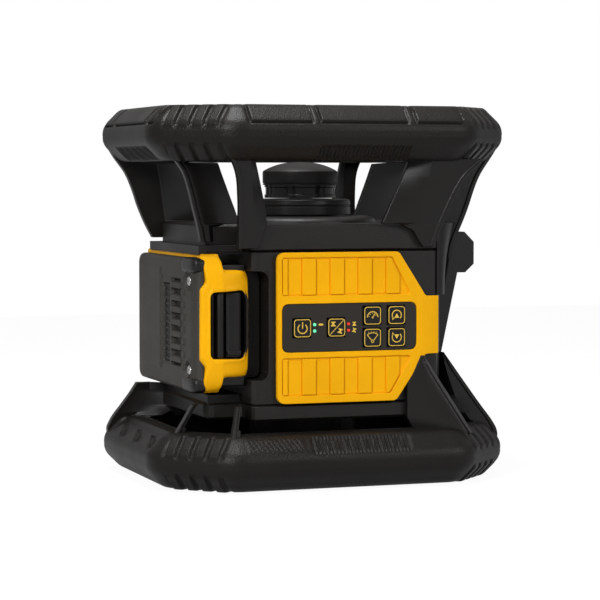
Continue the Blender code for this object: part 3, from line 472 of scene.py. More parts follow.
def lower_relief(side, s, q):
    """Height of the mouldings on the lower ring: ribs on the corners, grooves and a pitted field
    above the band, and smooth lobed pads sunk into the upper slope at the ends."""
    s, q = s / MM, q / MM
    along = s * np.where(side <= 2, -1.0, 1.0)
    rise = -0.25 * soft(q, 31.0, 31.8, 0.8)
    rise += np.isin(side, CORNERS) * corner_ribs(s) * (soft(q, 12.5, 26.5, 2.0) + soft(q, 36.5, 54.0, 2.0))
    rise -= np.isin(side, LONG_SIDES) * soft(along, -23, 36, 1.0) * soft(q, 14.0, 24.5, 1.2) * grooves(along)
    pits = 0.25 + 0.2 * np.sin(along * 1.9 + q * 0.7) * np.sin(q * 1.6 - along * 0.4)
    rise += np.isin(side, LONG_SIDES) * soft(along, -60, -27, 1.5) * soft(q, 14.0, 24.0, 1.5) * pits
    lobe = (0.5 + 0.5 * np.cos(2 * math.pi * along / 30)) ** 1.5
    sunk = soft(along, -44, 46, 3.0) * soft(q, 9.0, 25.5, 2.4) * soft(q, -9, 22.5 - 8.0 * lobe, 1.0)
    rise -= np.isin(side, END_SIDES) * sunk * 1.9
    return rise * MM


def bumper(name, base, relief, node):
    """The overmould: each point of the section has its own octagon, and the relief moves it along
    the section's normal. The section then returns along the core as a plain C."""
    section, along_q = ring_section()
    slope = np.gradient(section, axis=0)
    normal = np.stack([slope[:, 1], -slope[:, 0]], -1) / np.linalg.norm(slope, axis=1)[:, None]
    if normal[len(normal) // 2, 0] > 0:
        normal = -normal
    columns = []
    for (inset, height), (nx, nz), q in zip(section, normal, along_q):
        loop, side, s = ring_loop(inset)
        raised = relief(side, s, np.full(len(s), q))
        inwards = (ring_loop(inset + MM)[0] - loop) / MM
        level = base + np.clip(height + nz * raised, 0, RING_TALL)
        columns.append(np.concatenate([loop + inwards * (nx * raised)[:, None], level[:, None]], 1))
    for inset, height in rectangle(22, 10.5, 6, 25):
        columns.append(placed(ring_loop(inset * MM)[0], base + height * MM, "Z"))
    grid = np.stack(columns, 1)
    piece(name, grid.reshape(-1, 3), grid_faces(*grid.shape[:2], True, True), RUBBER, sharp=50,
          replaces=(node,), slot="black_rubber")


bumper("upper_bumper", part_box("upper_ring_overmould")[0].z, upper_relief, "upper_ring_overmould")
bumper("lower_bumper", 0.0, lower_relief, "lower_ring_overmould")


# ---- wings -----------------------------------------------------------------------------------
SIDE_FACE, END_FACE = 46.3 * MM, 65.3 * MM  # where the side and the end legs leave the walls
LEAN = 9.5 * MM
LEG_THICK, LEG_RIM = 3.5 * MM, 0.8 * MM
LEG_LEVELS = 64


def wing(name, rows, side, end, node, foot=None, far=None, gusset=0.0):
    """A plate lofted from rows of (z, inner x, fold x, outer x) in mm. Each section runs across the
    plate, sinks towards the inner edge by gusset, and has a rim along the outer edge. With foot and
    far it leans out of the wall between those levels; without, it stands square to Y."""
    rows = np.array(rows, float) * MM
    z = np.linspace(rows[0, 0], rows[-1, 0], LEG_LEVELS)
    inner, fold, outer = (np.interp(z, rows[:, 0], rows[:, k]) for k in (1, 2, 3))
    spread = 4
    padded = np.pad(outer, spread, mode="reflect", reflect_type="odd")
    outer = np.convolve(padded, np.ones(2 * spread + 1) / (2 * spread + 1), "valid")
    loops = []
    for level, xi, xf, xo in zip(z, inner, fold, outer):
        xf = min(max(xf, xi + 0.6 * MM), xo - 4.2 * MM) if xo - xi > 6 * MM else (xi + xo) / 2
        xm = (xi + xf) / 2
        lip = min(2.2 * MM, (xo - xf) * 0.4)
        sink, base = gusset, SIDE_FACE
        if foot is not None:
            out = (level - foot * MM) / ((far - foot) * MM)
            sink += LEAN * min(max(out, 0), 1)
            base = END_FACE + LEAN * out
        section = [
            (xi, -sink), (xm, -sink * 0.42), (xf, 0), (xo, 0), (xo, LEG_THICK + LEG_RIM),
            (xo - lip, LEG_THICK + LEG_RIM), (xo - lip - LEG_RIM, LEG_THICK), (xf, LEG_THICK),
            (xm, LEG_THICK - sink * 0.5), (xi, LEG_THICK - sink),
        ]
        loops.append(np.array([(side * x, end * (base + d), level) for x, d in section]))
    piece(name, *loft(loops), BLACK, sharp=30, bevel=0.55 * MM, replaces=(node,), slot="black_plastic")


BROAD_SIDE = [(146.9, 50.0, 69, 82.0), (150, 51, 69.4, 83.2), (156, 53.3, 70.2, 85.8), (165, 56.8, 71.4, 88.6),
              (174, 60.2, 72.6, 92.3), (179, 62.0, 73.8, 95.4), (181.7, 63, 74.4, 98.0), (181.9, 81, 84, 98.1),
              (186, 82, 86, 101), (189.5, 84, 88, 103)]
SLIM_SIDE = [(146.9, 50.0, 73.6, 77.8), (156, 53.3, 76, 80.2), (165, 56.8, 78, 82.3), (174, 60.2, 80.8, 85.0),
             (179, 62.0, 83.2, 87.6), (181.7, 63, 85, 90.0), (181.9, 81, 83, 90.2), (185, 82, 84, 93)]
LEFT_FOOT = [(137.2, 63.3, 68, 76.8), (146.8, 63.3, 69, 82.0)]
LEFT_FOOT_SLIM = [(137.2, 63.3, 70, 76.0), (146.8, 63.3, 71, 77.7)]
RIGHT_FOOT = [(106, 68.8, 69.4, 70.4), (120, 68.8, 70.0, 73.4), (137.1, 68.8, 71, 77.2), (137.2, 63.3, 71, 77.2),
              (146.8, 63.3, 71, 82.0)]
RIGHT_FOOT_SLIM = [(106, 68.8, 69.4, 70.4), (120, 68.8, 70, 72.8), (137.1, 68.8, 70.6, 76), (137.2, 63.3, 71, 76),
                   (146.8, 63.3, 71, 77.7)]
BROAD_END = [(133.7, 50, 52, 57.0), (143, 44, 51, 59.4), (146.8, 36, 50, 60.6), (146.9, 25.0, 50, 60.7),
             (153, 27.8, 50.2, 63.0), (165, 33.4, 50.6, 68.0), (174.5, 37.8, 51, 73.2),
             (179, 39.8, 51.2, 78.2), (183.5, 41.4, 51.6, 83.5)]
SLIM_END = [(133.7, 48, 51, 59.6), (146.8, 43, 52, 60.5), (158, 44.4, 53, 61.0), (172, 47.4, 54.5, 62.5),
            (179, 49, 55, 64.6), (183.5, 50, 55.8, 67.2)]
for name, rows, side, end, node, sink in (
    ("front_right_side_leg", RIGHT_FOOT + BROAD_SIDE, 1, -1, "upper_right_front_wing", 12),
    ("rear_left_side_leg", LEFT_FOOT + BROAD_SIDE, -1, 1, "upper_left_rear_wing", 21),
    ("front_left_side_leg", LEFT_FOOT_SLIM + SLIM_SIDE, -1, -1, "upper_left_front_wing", 9),
    ("rear_right_side_leg", RIGHT_FOOT_SLIM + SLIM_SIDE, 1, 1, "upper_right_rear_wing", 3),
):
    wing(name, rows, side, end, node, gusset=sink * MM)
for name, rows, side, end, node in (
    ("front_right_leg", BROAD_END, 1, -1, "upper_front_right_wing"),
    ("rear_left_leg", BROAD_END, -1, 1, "upper_rear_left_wing"),
    ("front_left_leg", SLIM_END, -1, -1, "upper_front_left_wing"),
    ("rear_right_leg", SLIM_END, 1, 1, "upper_rear_right_wing"),
):
    wing(name, rows, side, end, node, 133.7, 181.7)

LOW_BROAD = [(17, 88, 96, 103.5), (24, 86, 96, 105.4), (31.2, 80.5, 90, 101.6), (31.3, 74, 88, 101.5),
             (37, 62.6, 84, 96.8)]
LOW_BROAD_RIGHT = LOW_BROAD + [(45, 62.9, 79, 90.6), (46.4, 68.8, 78, 89.6), (60, 68.8, 73, 79.4),
                               (72, 68.8, 69.6, 70.6)]
LOW_BROAD_LEFT = LOW_BROAD + [(45, 64.9, 79, 90.6), (50.8, 72.2, 79, 86.8)]
LOW_SLIM_RIGHT = [(29, 84.5, 86, 91.6), (31.2, 84, 85.5, 90.2), (37, 81, 82.5, 87.0), (45, 75.5, 77, 81.8),
                  (56.3, 68.8, 69.2, 70.4)]
LOW_SLIM_LEFT = [(29, 84.5, 86, 91.6), (31.2, 84, 85.5, 90.2), (37, 81, 82.4, 86.6), (46.3, 75, 76.6, 81.0)]
LOW_BROAD_END = [(28, 45, 71.5, 76.6), (31.2, 44, 69.6, 74.6), (37, 40.7, 66, 71.2), (55.8, 40.7, 55, 60.0),
                 (63, 44.6, 51, 55.8), (72, 48.8, 49.4, 50.6)]
LOW_SLIM_END = [(28, 61.5, 63.2, 68.0), (31.2, 60.5, 62, 66.6), (37, 58.5, 60, 64.4), (46.3, 55.4, 56.8, 61.0)]
for name, rows, side, end, node, sink in (
    ("low_front_right_side_leg", LOW_BROAD_RIGHT, 1, -1, "lower_right_front_wing", 8),
    ("low_rear_right_side_leg", LOW_SLIM_RIGHT, 1, 1, "lower_right_rear_wing", 14),
    ("low_front_left_side_leg", LOW_SLIM_LEFT, -1, -1, "lower_left_front_wing", 14),
    ("low_rear_left_side_leg", LOW_BROAD_LEFT, -1, 1, "lower_left_rear_wing", 8),
):
    wing(name, rows, side, end, node, gusset=sink * MM)
for name, rows, side, end, node, top, sink in (
    ("low_front_right_leg", LOW_BROAD_END, 1, -1, "lower_front_right_wing", 72, 0),
    ("low_rear_left_leg", LOW_BROAD_END, -1, 1, "lower_rear_left_wing", 72, 0),
    ("low_front_left_leg", LOW_SLIM_END, -1, -1, "lower_front_left_wing", 46.3, 8),
    ("low_rear_right_leg", LOW_SLIM_END, 1, 1, "lower_rear_right_wing", 46.3, 8),
):
    wing(name, rows, side, end, node, top, 31.2, sink * MM)


def corner_webs():
    """Rounded corners between the end legs and the side legs on the right. In plan each is the
    curve a(1-t)^2 + 2ct(1-t) + bt^2 from the wall's edge a to the side leg b, flaring upwards."""
    low, high = 106.2, 147.0
    t = np.linspace(0, 1, 14)[:, None]
    a = np.array([60.2, 64.8])
    for name, end in (("front_corner_web", -1), ("rear_corner_web", 1)):
        loops = []
        for z in np.linspace(low, high, 18):
            flare = ((z - low) / (high - low)) ** 2
            b, c = np.array([70.0 + 8 * flare, 49.6]), np.array([67.2 + 1.5 * flare, 64.6])
            bow = a * (1 - t) ** 2 + 2 * c * t * (1 - t) + b * t * t
            plan = np.concatenate([bow, [(64.0, 49.6), (60.2, 58.0)]]) * MM
            loops.append(placed(plan * (1, end), z * MM, "Z"))
        piece(name, *outward(*loft(loops)), BLACK, sharp=40)


corner_webs()


# ---- yellow trim -----------------------------------------------------------------------------
def carved(solid, *cutters):
    """The solid less the cutters, as vertices and faces."""
    made = []
    for verts, faces in (solid, *cutters):
        mesh = bpy.data.meshes.new("shape")
        mesh.from_pydata(np.asarray(verts).tolist(), [], [tuple(f) for f in faces])
        bm = bmesh.new()
        bm.from_mesh(mesh)
        bmesh.ops.recalc_face_normals(bm, faces=bm.faces)
        bm.to_mesh(mesh)
        bm.free()
        obj = bpy.data.objects.new("shape", mesh)
        bpy.context.scene.collection.objects.link(obj)
        made.append(obj)
    for tool in made[1:]:
        change = made[0].modifiers.new("cut", "BOOLEAN")
        change.operation = "DIFFERENCE"
        change.solver = "EXACT"
        change.object = tool
    bpy.context.view_layer.update()
    graph = bpy.context.evaluated_depsgraph_get()
    mesh = bpy.data.meshes.new_from_object(made[0].evaluated_get(graph))
    result = [tuple(v.co) for v in mesh.vertices], [list(p.vertices) for p in mesh.polygons]
    for obj in made:
        bpy.data.objects.remove(obj, do_unlink=True)
    return result


def split_at(shape, levels):
    """The shape with its faces cut along planes of constant x."""
    bm = to_bmesh(*shape)
    for x in levels:
        every = bm.verts[:] + bm.edges[:] + bm.faces[:]
        bmesh.ops.bisect_plane(bm, geom=every, plane_co=(x, 0, 0), plane_no=(1, 0, 0))
    return from_bmesh(bm)


PAD_Z = (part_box("key_pad")[0].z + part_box("key_pad")[1].z) / 2
TRIM_BACK, TRIM_FACE = -65.3 * MM, -68.5 * MM
FIELD_FLOOR = TRIM_FACE + 1.25 * MM
PLANK_START, PLANK_PITCH, PLANK_GAP = -30.7, 8.36, 0.15  # mm
PLANK_LEFT = -33.8  # where the first plank is cut off
EAR_START, EAR_TURN = 50, 57  # where the right end starts to bend back, and bends more, in mm


def trim_frame():
    """The yellow frame with its window and two sunk fields, bent back at the right end."""
    outline = rounded(
        mm([(-37, 46.9), (34, 46.9), (52, 72.9), (60.6, 72.9), (60.6, 105.9), (52, 105.9), (35.5, 131.3),
            (-37, 131.3)]),
        [r * MM for r in (5, 4, 3, 0.8, 0.8, 3, 4, 5)], 6,
    )
    upper = rounded(mm([(-34.2, 107.2), (43.0, 107.2), (31.6, 128.4), (-34.2, 128.4)]), 1.6 * MM, 3)
    lower = rounded(mm([(-34.2, 51.2), (30.6, 51.2), (43.6, 72.3), (-34.2, 72.3)]), 1.6 * MM, 3)
    half = 13.6 * MM
    window = rounded(rectangle(-34.3 * MM, 46.3 * MM, PAD_Z - half, PAD_Z + half), 4.2 * MM, 6)
    before = TRIM_FACE - 4 * MM
    base = carved(
        prism(outline, TRIM_FACE, TRIM_BACK, "Y"),
        prism(window, before, TRIM_BACK + 2 * MM, "Y"),
        prism(upper, before, FIELD_FLOOR, "Y"),
        prism(lower, before, FIELD_FLOOR, "Y"),
    )
    verts, faces = split_at(base, (EAR_START * MM, EAR_TURN * MM))
    x = verts[:, 0] / MM
    bent = np.clip(x - EAR_START, 0, EAR_TURN - EAR_START) * 0.17 + np.clip(x - EAR_TURN, 0, 4) * 0.3
    verts[:, 1] += bent * MM * (verts[:, 1] < -66.5 * MM)
    piece("trim_frame", verts, faces, YELLOW, sharp=30, bevel=1.0 * MM, replaces=("yellow_trim",),
          slot="yellow_plastic")


def trim_planks():
    """Upright planks in the two fields, every other one raised. A field's right edge slants from
    right_low at its bottom to right_high at its top, and cuts the last planks."""
    fields = ((107.6, 127.9, -0.538, 42.0, 30.8), (51.6, 71.9, 0.617, 29.8, 42.6))
    parts = []
    for low, high, slope, right_low, right_high in fields:
        for k in range(9):
            start = PLANK_START + PLANK_PITCH * (k - 1) + PLANK_GAP
            x0, x1 = max(start, PLANK_LEFT), start + PLANK_PITCH - 2 * PLANK_GAP
            rise, z1 = (1.15, high) if k % 2 == 0 else (0.25, high - 0.9)
            at_low, at_high = min(x1, right_low), min(x1, right_high)
            if max(at_low, at_high) < x0 + 1:
                continue
            plank = [(x0, low), (max(at_low, x0 + 0.3), low)]
            if abs(at_low - at_high) > 0.1 and max(at_low, at_high) >= x1 - 0.01:
                turn = z1 + (x1 - right_high) / slope if slope < 0 else low + (x1 - right_low) / slope
                plank.append((x1, min(max(turn, low + 0.3), z1 - 0.3)))
            plank += [(max(at_high, x0 + 0.3), z1), (x0, z1)]
            parts.append(prism(mm(plank), FIELD_FLOOR - rise * MM, FIELD_FLOOR + 0.4 * MM, "Y"))
    piece("trim_planks", *merged(parts), YELLOW, sharp=30, bevel=0.42 * MM, slot="yellow_plastic")


trim_frame()
trim_planks()


# ---- key symbols -----------------------------------------------------------------------------
PRINT_FRONT, PRINT_BACK = 0.08 * MM, -0.05 * MM  # off the surface, and into it


def stroke(path, width, y, closed=False):
    """A line of even width along a path of (x, z), standing just off y towards -Y."""
    p = np.array(path, float)
    if closed:
        tangent = np.roll(p, -1, 0) - np.roll(p, 1, 0)
    else:
        tangent = np.gradient(p, axis=0)
    tangent /= np.linalg.norm(tangent, axis=1)[:, None]
    across = np.stack([-tangent[:, 1], tangent[:, 0]], -1) * width / 2
    left, right = p + across, p - across
    front, back = y - PRINT_FRONT, y - PRINT_BACK
    around = ((left, front), (right, front), (right, back), (left, back))
    loops = np.stack([placed(side, depth, "Y") for side, depth in around], 1)
    if closed:
        return loops.reshape(-1, 3), grid_faces(len(p), 4, True, True)
    return loft(list(loops))


def arc(cx, cz, r, start, end, n=28):
    a = np.radians(np.linspace(start, end, n))
    return np.stack([cx + r * np.cos(a), cz + r * np.sin(a)], -1)


def fill(points, y):
    return prism(points, y - PRINT_FRONT, y - PRINT_BACK, "Y")


def level_mark(cx, cz, size, y, tilt=0.0):
    """A small level on its stand, as a symbol."""
    shape = np.array([
        (-0.5, 0.5), (0.5, 0.5), (0.5, 0.28), (0.22, 0.22), (0.2, -0.1), (0.55, -0.35), (0.55, -0.5),
        (-0.55, -0.5), (-0.55, -0.35), (-0.2, -0.1), (-0.22, 0.22), (-0.5, 0.28),
    ]) * size
    c, s = math.cos(tilt), math.sin(tilt)
    return fill(shape @ np.array([(c, s), (-s, c)]) + (cx, cz), y)


def key_symbol(key):
    """A frame and a pictogram of plain shapes, in mm from the key's middle."""
    low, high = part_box(key)
    cx, cz, y = (low.x + high.x) / 2, (low.z + high.z) / 2, low.y

    def at(points):
        return np.array(points, float) * MM + (cx, cz)

    def line(points, width, closed=False):
        return stroke(at(points), width * MM, y, closed)

    h = 4.75
    parts = [line(rounded(rectangle(-h, h, -h, h), 1.7, 5), 0.42, True)]
    if key == "key_power":
        parts += [line(arc(0, -0.2, 2.7, 128, 412), 0.62), line([(0, 3.4), (0, 1.5), (0, -0.3)], 0.62)]
    elif key == "key_slope":
        parts += [line([(-4.0, -4.0), (0, 0), (4.0, 4.0)], 0.36),
                  level_mark(cx - 2.1 * MM, cz + 2.0 * MM, 2.6 * MM, y),
                  level_mark(cx + 2.1 * MM, cz - 2.0 * MM, 2.6 * MM, y, -0.3)]
    elif key == "key_speed":
        parts += [line(arc(0, -1.0, 3.2, 0, 180), 0.5), line([(0, -1.0), (0.9, 0.3), (1.8, 1.6)], 0.5)]
        for a in np.radians((30, 90, 130, 165)):
            parts.append(line(np.outer([2.0, 2.7], [math.cos(a), math.sin(a)]) + (0, -1.0), 0.34))
        parts.append(fill(at(arc(0, -1.0, 0.62, 0, 345, 16)), y))
    elif key == "key_scan":
        parts += [line([(-0.6, -1.4), (-1.9, 0.1), (-3.2, 1.6)], 0.42),
                  line([(0.6, -1.4), (1.9, 0.1), (3.2, 1.6)], 0.42),
                  line(arc(0, -2.2, 5.0, 50, 130), 0.42), line(arc(0, -2.0, 0.75, 0, 345, 18), 0.4, True)]
        for x in (-2.4, -0.8, 0.8, 2.4):
            z = 3.2 - abs(x) * 0.12
            parts.append(line([(x, z), (x, z + 0.5)], 0.34))
    else:
        up = 1 if key == "key_turn_left" else -1
        parts += [line(arc(0, 0, 2.75, -42 * up, 222 * up), 0.55),
                  fill(at([(-1.5, -1.6 * up), (1.5, -1.6 * up), (0, 1.0 * up)]), y),
                  fill(at([(-2.9, -1.1 * up), (-1.2, -1.5 * up), (-2.6, -2.9 * up)]), y)]
    piece(key + "_symbol", *merged(parts), PRINT, body=key)


def lamp_marks():
    """A small cell beside the green lamps and two levels beside the red ones."""
    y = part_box("key_pad")[0].y
    cells = (rectangle(-12.6, -10.2, 1.2, 2.3), rectangle(-10.1, -9.8, 1.5, 2.0))
    parts = [fill(np.array(cell) * MM + (0, PAD_Z), y) for cell in cells]
    for dz, tilt in ((1.8, 0.0), (-1.8, -0.3)):
        parts.append(level_mark(8.6 * MM, PAD_Z + dz * MM, 2.2 * MM, y, tilt))
    piece("lamp_marks", *merged(parts), PRINT)


for key_node in ("key_power", "key_slope", "key_speed", "key_scan", "key_turn_left", "key_turn_right"):
    key_symbol(key_node)
lamp_marks()


# ---- battery pack ----------------------------------------------------------------------------
PACK_LOW_CORNER, PACK_HIGH_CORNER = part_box("battery_base_shell")
FRONT_Y, REAR_Y = PACK_LOW_CORNER.y, PACK_HIGH_CORNER.y
BASE_X, PACK_Z0, PACK_Z1 = PACK_LOW_CORNER.x, PACK_LOW_CORNER.z, PACK_HIGH_CORNER.z


SHELL_BACK = -76.2 * MM
GRIP_MIDDLE = np.array([-63.5, 91]) * MM
PACK_SCREWS = (115.4, 65.6)  # heights, in mm
SCREW_Y = -46.5


def pack_relief(y, z):
    """Mouldings on the pack's outer face, outwards: a raised plain field, a sunk strip, a column of
    fins in a sunk bed, dashes and two screw wells."""
    y, z = y / MM, z / MM
    fins = sum(soft(z, c - 2.0, c + 2.0, 0.9) for c in np.arange(70, 113, 7))
    dashes = sum(soft(z, c - 1.6, c + 1.6, 0.8) for c in np.arange(66.5, 118, 7))
    rise = 0.55 * soft(y, 10.4, 56.5, 0.8) * soft(z, 62.5, 121, 0.8)
    rise -= 2.3 * soft(y, -8.3, 6.3, 0.8) * soft(z, 67, 112.4, 0.8)
    rise += soft(y, -32, -11.5, 0.8) * soft(z, 66.5, 115.5, 0.9) * (3.6 * fins - 2.8)
    rise += 0.9 * soft(y, -38.0, -33.4, 0.8) * soft(z, 64, 117, 0.9) * dashes
    rise += 0.6 * soft(y, 7.4, 9.4, 0.8) * dashes
    for c in PACK_SCREWS:
        r = np.hypot(y - SCREW_Y, z - c)
        rise += 0.8 * soft(r, -9, 6.4, 0.9) - 2.4 * soft(r, -9, 4.8, 0.9)
    return rise * MM


def pack_shell():
    """The outer shell as a height field over (y, z), pulled onto a rounded outline, with its edges
    turned over by quarter arcs and its back closed flat."""
    across, up = np.linspace(FRONT_Y, REAR_Y, 160), np.linspace(PACK_Z0, PACK_Z1, 104)
    gy, gz = np.meshgrid(across, up, indexing="ij")
    my, mz, r = (FRONT_Y + REAR_Y) / 2, (PACK_Z0 + PACK_Z1) / 2, 6 * MM
    ay, az = np.abs(gy - my), np.abs(gz - mz)
    cy, cz = (REAR_Y - FRONT_Y) / 2 - r, (PACK_Z1 - PACK_Z0) / 2 - r
    over = np.hypot(np.maximum(ay - cy, 0), np.maximum(az - cz, 0))
    pull = np.where(over > r, r / np.maximum(over, 1e-9), 1.0)
    ay = np.where((ay > cy) & (az > cz), cy + (ay - cy) * pull, ay)
    az = np.where((ay > cy) & (az > cz), cz + (np.abs(gz - mz) - cz) * pull, az)
    y, z = my + np.sign(gy - my) * ay, mz + np.sign(gz - mz) * az
    gap = np.minimum(r - np.hypot(np.maximum(ay - cy, 0), np.maximum(az - cz, 0)), r)
    gap = np.where((ay > cy) | (az > cz), gap, r)

    def turned(distance, radius, depth):
        t = np.clip((radius - distance) / radius, 0, 1)
        return depth * (1 - np.sqrt(np.maximum(1 - t * t, 0)))

    drop = np.maximum(turned(gap, 3 * MM, 2.6 * MM), turned(y - FRONT_Y, 10 * MM, 4.6 * MM))
    keep = np.clip(gap / (1.5 * MM), 0, 1)
    x = BASE_X + drop - pack_relief(y, z) * keep
    nu, nv = x.shape
    top = np.stack([x, y, z], -1).reshape(-1, 3)
    at = np.arange(nu * nv).reshape(nu, nv)
    rim = np.concatenate([at[:, 0], at[-1, 1:], at[-2::-1, -1], at[0, -2:0:-1]])
    back = top[rim].copy()
    back[:, 0] = SHELL_BACK
    n = len(rim)
    faces = grid_faces(nu, nv)
    faces += [[int(rim[i]), nu * nv + i, nu * nv + (i + 1) % n, int(rim[(i + 1) % n])] for i in range(n)]
    faces.append([nu * nv + i for i in range(n)])
    return outward(np.concatenate([top, back]), faces)


def evenly(outline, step):
    """A closed outline with its points spaced by about step."""
    closed = np.concatenate([outline, outline[:1]])
    run = np.concatenate([[0], np.cumsum(np.linalg.norm(np.diff(closed, axis=0), axis=1))])
    s = np.linspace(0, run[-1], int(run[-1] / step), endpoint=False)
    return np.stack([np.interp(s, run, closed[:, k]) for k in (0, 1)], -1)


def pack_frame(opening, outline):
    """The front frame, a band between the opening and the outline. Its face is y = a ridge line
    that falls away as a square to the right and straight to the left, lower at both ends."""
    outer = evenly(outline, 0.7 * MM)
    around = np.arctan2(*(outer - GRIP_MIDDLE).T[::-1])
    hole = evenly(opening, 0.3 * MM)
    angle = np.arctan2(*(hole - GRIP_MIDDLE).T[::-1])
    order = np.argsort(angle)
    inner = np.stack([np.interp(around, angle[order], hole[order, k], period=2 * math.pi) for k in (0, 1)], -1)

    def face(p):
        right = np.maximum(p[:, 0] / MM + 67, 0) / 17
        left = np.maximum(-67 - p[:, 0] / MM, 0) / 11
        ends = np.clip((np.abs(p[:, 1] / MM - 91) - 24) / 12, 0, 1)
        return FRONT_Y + (-4.2 + 0.9 * right + 4.4 * right**2 + 2.2 * left + 2.6 * ends**2) * MM

    columns = []
    for mix, lift in ((0, 9), (0, 0.5), (0.02, -0.15), (0.07, -0.35), (0.14, -0.3), (0.2, 0), (0.36, 0.05),
                      (0.52, 0.05), (0.68, 0.05), (0.8, 0.15), (0.9, 0.6), (0.97, 1.5), (1, 2.8), (1, 9)):
        p = inner + (outer - inner) * mix
        columns.append(np.stack([p[:, 0], face(p) + lift * MM, p[:, 1]], -1))
    grid = np.stack(columns, 1)
    return outward(grid.reshape(-1, 3), grid_faces(*grid.shape[:2], True, True))


def pack_side():
    """The grey shell and what sits on its outer face: the toothed strip, the two screws and the
    rounded bosses at the front corners."""
    x = BASE_X
    piece("battery_base", *pack_shell(), GREY, body="battery", sharp=40, replaces=("battery_base_shell",),
          slot="grey_plastic")
    strip = [prism(mm(rectangle(-8.0, 6.0, 67.3, 112.1)), x + 1.5 * MM, x + 3.0 * MM, "X")]
    for z in np.arange(68.2, 111, 3.5):
        strip.append(prism(mm(rectangle(-7.6, 5.6, z, z + 1.7)), x + 0.9 * MM, x + 2.0 * MM, "X"))
    piece("battery_strip", *merged(strip), RUBBER, body="battery", bevel=0.3 * MM)

    heads = []
    for z in PACK_SCREWS:
        profile = mm([(0, 0), (1.9, 0), (2.7, 0.6), (2.7, 1.6), (0, 1.6)])
        verts, faces = outward(*lathe(profile, 28, closed=False))
        head = np.stack([x - 0.3 * MM + verts[:, 2], SCREW_Y * MM + verts[:, 0], z * MM + verts[:, 1]], -1)
        turns = np.linspace(0, 2 * math.pi, 12, endpoint=False)
        star = [(SCREW_Y + r * math.cos(a), z + r * math.sin(a)) for a, r in zip(turns, [1.3, 0.8] * 6)]
        heads.append(carved((head, faces), prism(mm(star), x - 0.9 * MM, x + 0.7 * MM, "X")))
    piece("battery_screws", *merged(heads), STEEL, body="battery", sharp=30)

    around, up = np.linspace(0, 2 * math.pi, 48, endpoint=False), np.linspace(-1.5, 1.5, 25)
    u, v = np.meshgrid(around, up, indexing="ij")
    bend = lambda c: np.sign(c) * np.abs(c) ** 0.55
    bosses = []
    for z in (124.0, 57.2):
        boss = np.stack([
            x + 3.6 * MM + 4.6 * MM * bend(np.cos(u)) * bend(np.cos(v)),
            -44.6 * MM + 13.2 * MM * bend(np.sin(v)),
            z * MM + 4.6 * MM * bend(np.sin(u)) * bend(np.cos(v)),
        ], -1)
        faces = grid_faces(*u.shape, True)
        faces += [list(range(end, u.size, u.shape[1])) for end in (0, u.shape[1] - 1)]
        bosses.append(outward(boss.reshape(-1, 3), faces))
    piece("battery_bosses", *merged(bosses), DARK, body="battery", sharp=60)


def pack_front():
    """Yellow cover with the frame round its grip, the dark core and well behind the opening, and the rail block on the
    inner side. The dark core is painted shade: it stands where the yellow body behind the opening lies in shadow."""
    opening = rounded(
        mm([(-73.2, 72.2), (-53.6, 71.9), (-51.6, 78), (-51.6, 105), (-53.2, 110.4), (-73.2, 109.2)]), 3.2 * MM, 6,
    )

    def grown(wider, taller):
        return (opening - GRIP_MIDDLE) * (wider, taller) + GRIP_MIDDLE

    hole = prism(grown(1.09, 1.05), FRONT_Y - 9 * MM, FRONT_Y + 11.2 * MM, "Y")
    near = FRONT_Y + 1.5 * MM
    tall = rounded(rectangle(near, REAR_Y, PACK_Z0, 130.4 * MM), 4.5 * MM, 5)
    short = rounded(rectangle(near, REAR_Y, 62 * MM, 121.2 * MM), 3 * MM, 4)
    cover = merged([carved(prism(tall, BASE_X + 6.0 * MM, -66.9 * MM, "X"), hole),
                    carved(prism(short, -67.0 * MM, -51.4 * MM, "X"), hole)])
    piece("battery_cover", *cover, YELLOW, body="battery", sharp=30, bevel=0.8 * MM,
          replaces=("battery_cover_shell",), slot="yellow_plastic")
    # Painted shade: a dark block where the yellow body behind the opening lies in shadow.
    core = rounded(rectangle(FRONT_Y + 1.1 * MM, REAR_Y - 1 * MM, 56.7 * MM, 124.3 * MM), 1.2 * MM, 3)
    core = carved(prism(core, -67.1 * MM, -52.4 * MM, "X"), hole)
    piece("battery_core_painted_shade", *core, DARK, body="battery", sharp=30, bevel=0.3 * MM)
    edge = rounded(
        mm([(-77.9, 129.6), (-75.2, 115.4), (-78.6, 111.2), (-78.8, 71.7), (-75.5, 67.4), (-77.6, 53.4), (-66.6, 54.6),
            (-66.2, 61.8), (-51.0, 61.8), (-49.9, 66), (-49.9, 118), (-51.5, 121.6), (-65.6, 121.6), (-67.0, 129.6)]),
        [r * MM for r in (1.5, 3, 3, 3, 3, 1.5, 3, 3, 4, 5, 5, 4, 3, 3)], 5,
    )
    piece("battery_frame", *pack_frame(opening, edge), YELLOW, body="battery", sharp=40, slot="yellow_plastic")
    well = carved(prism(grown(1.07, 1.035), FRONT_Y - 0.4 * MM, FRONT_Y + 11 * MM, "Y"),
                  prism(grown(0.99, 0.99), FRONT_Y - 9 * MM, FRONT_Y + 10 * MM, "Y"))
    piece("battery_well", *well, DARK, body="battery", sharp=30)
    rail = rounded(mm(rectangle(-51.5, -41.6, 60.6, 120.6)), [0, 5.6 * MM, 5.6 * MM, 0], 5)
    rail = prism(rail, FRONT_Y + 6 * MM, REAR_Y - 11 * MM, "Y")
    piece("battery_rails", *rail, RUBBER, body="battery", bevel=0.4 * MM)


def dock():
    """Rounded corners of the dock's mouth, and the seal over the pack."""
    corners = []
    for z, way in ((60, 1), (121, -1)):
        bow = arc(-46.1, z + way * 5.1, 5.1, -90 * way, 0, 8)
        corner = np.concatenate([bow, [(-40.9, z - way * 0.1)]]) * MM
        corners.append(outward(*prism(corner, -65 * MM, -52 * MM, "Y")))
    piece("dock_corners", *merged(corners), BLACK, sharp=30)
    seal = rounded(mm(rectangle(-74.5, -52, -50, 56)), 2 * MM, 4)
    piece("dock_seal", *prism(seal, 130.8 * MM, 132.2 * MM, "Z"), RUBBER, bevel=0.3 * MM)


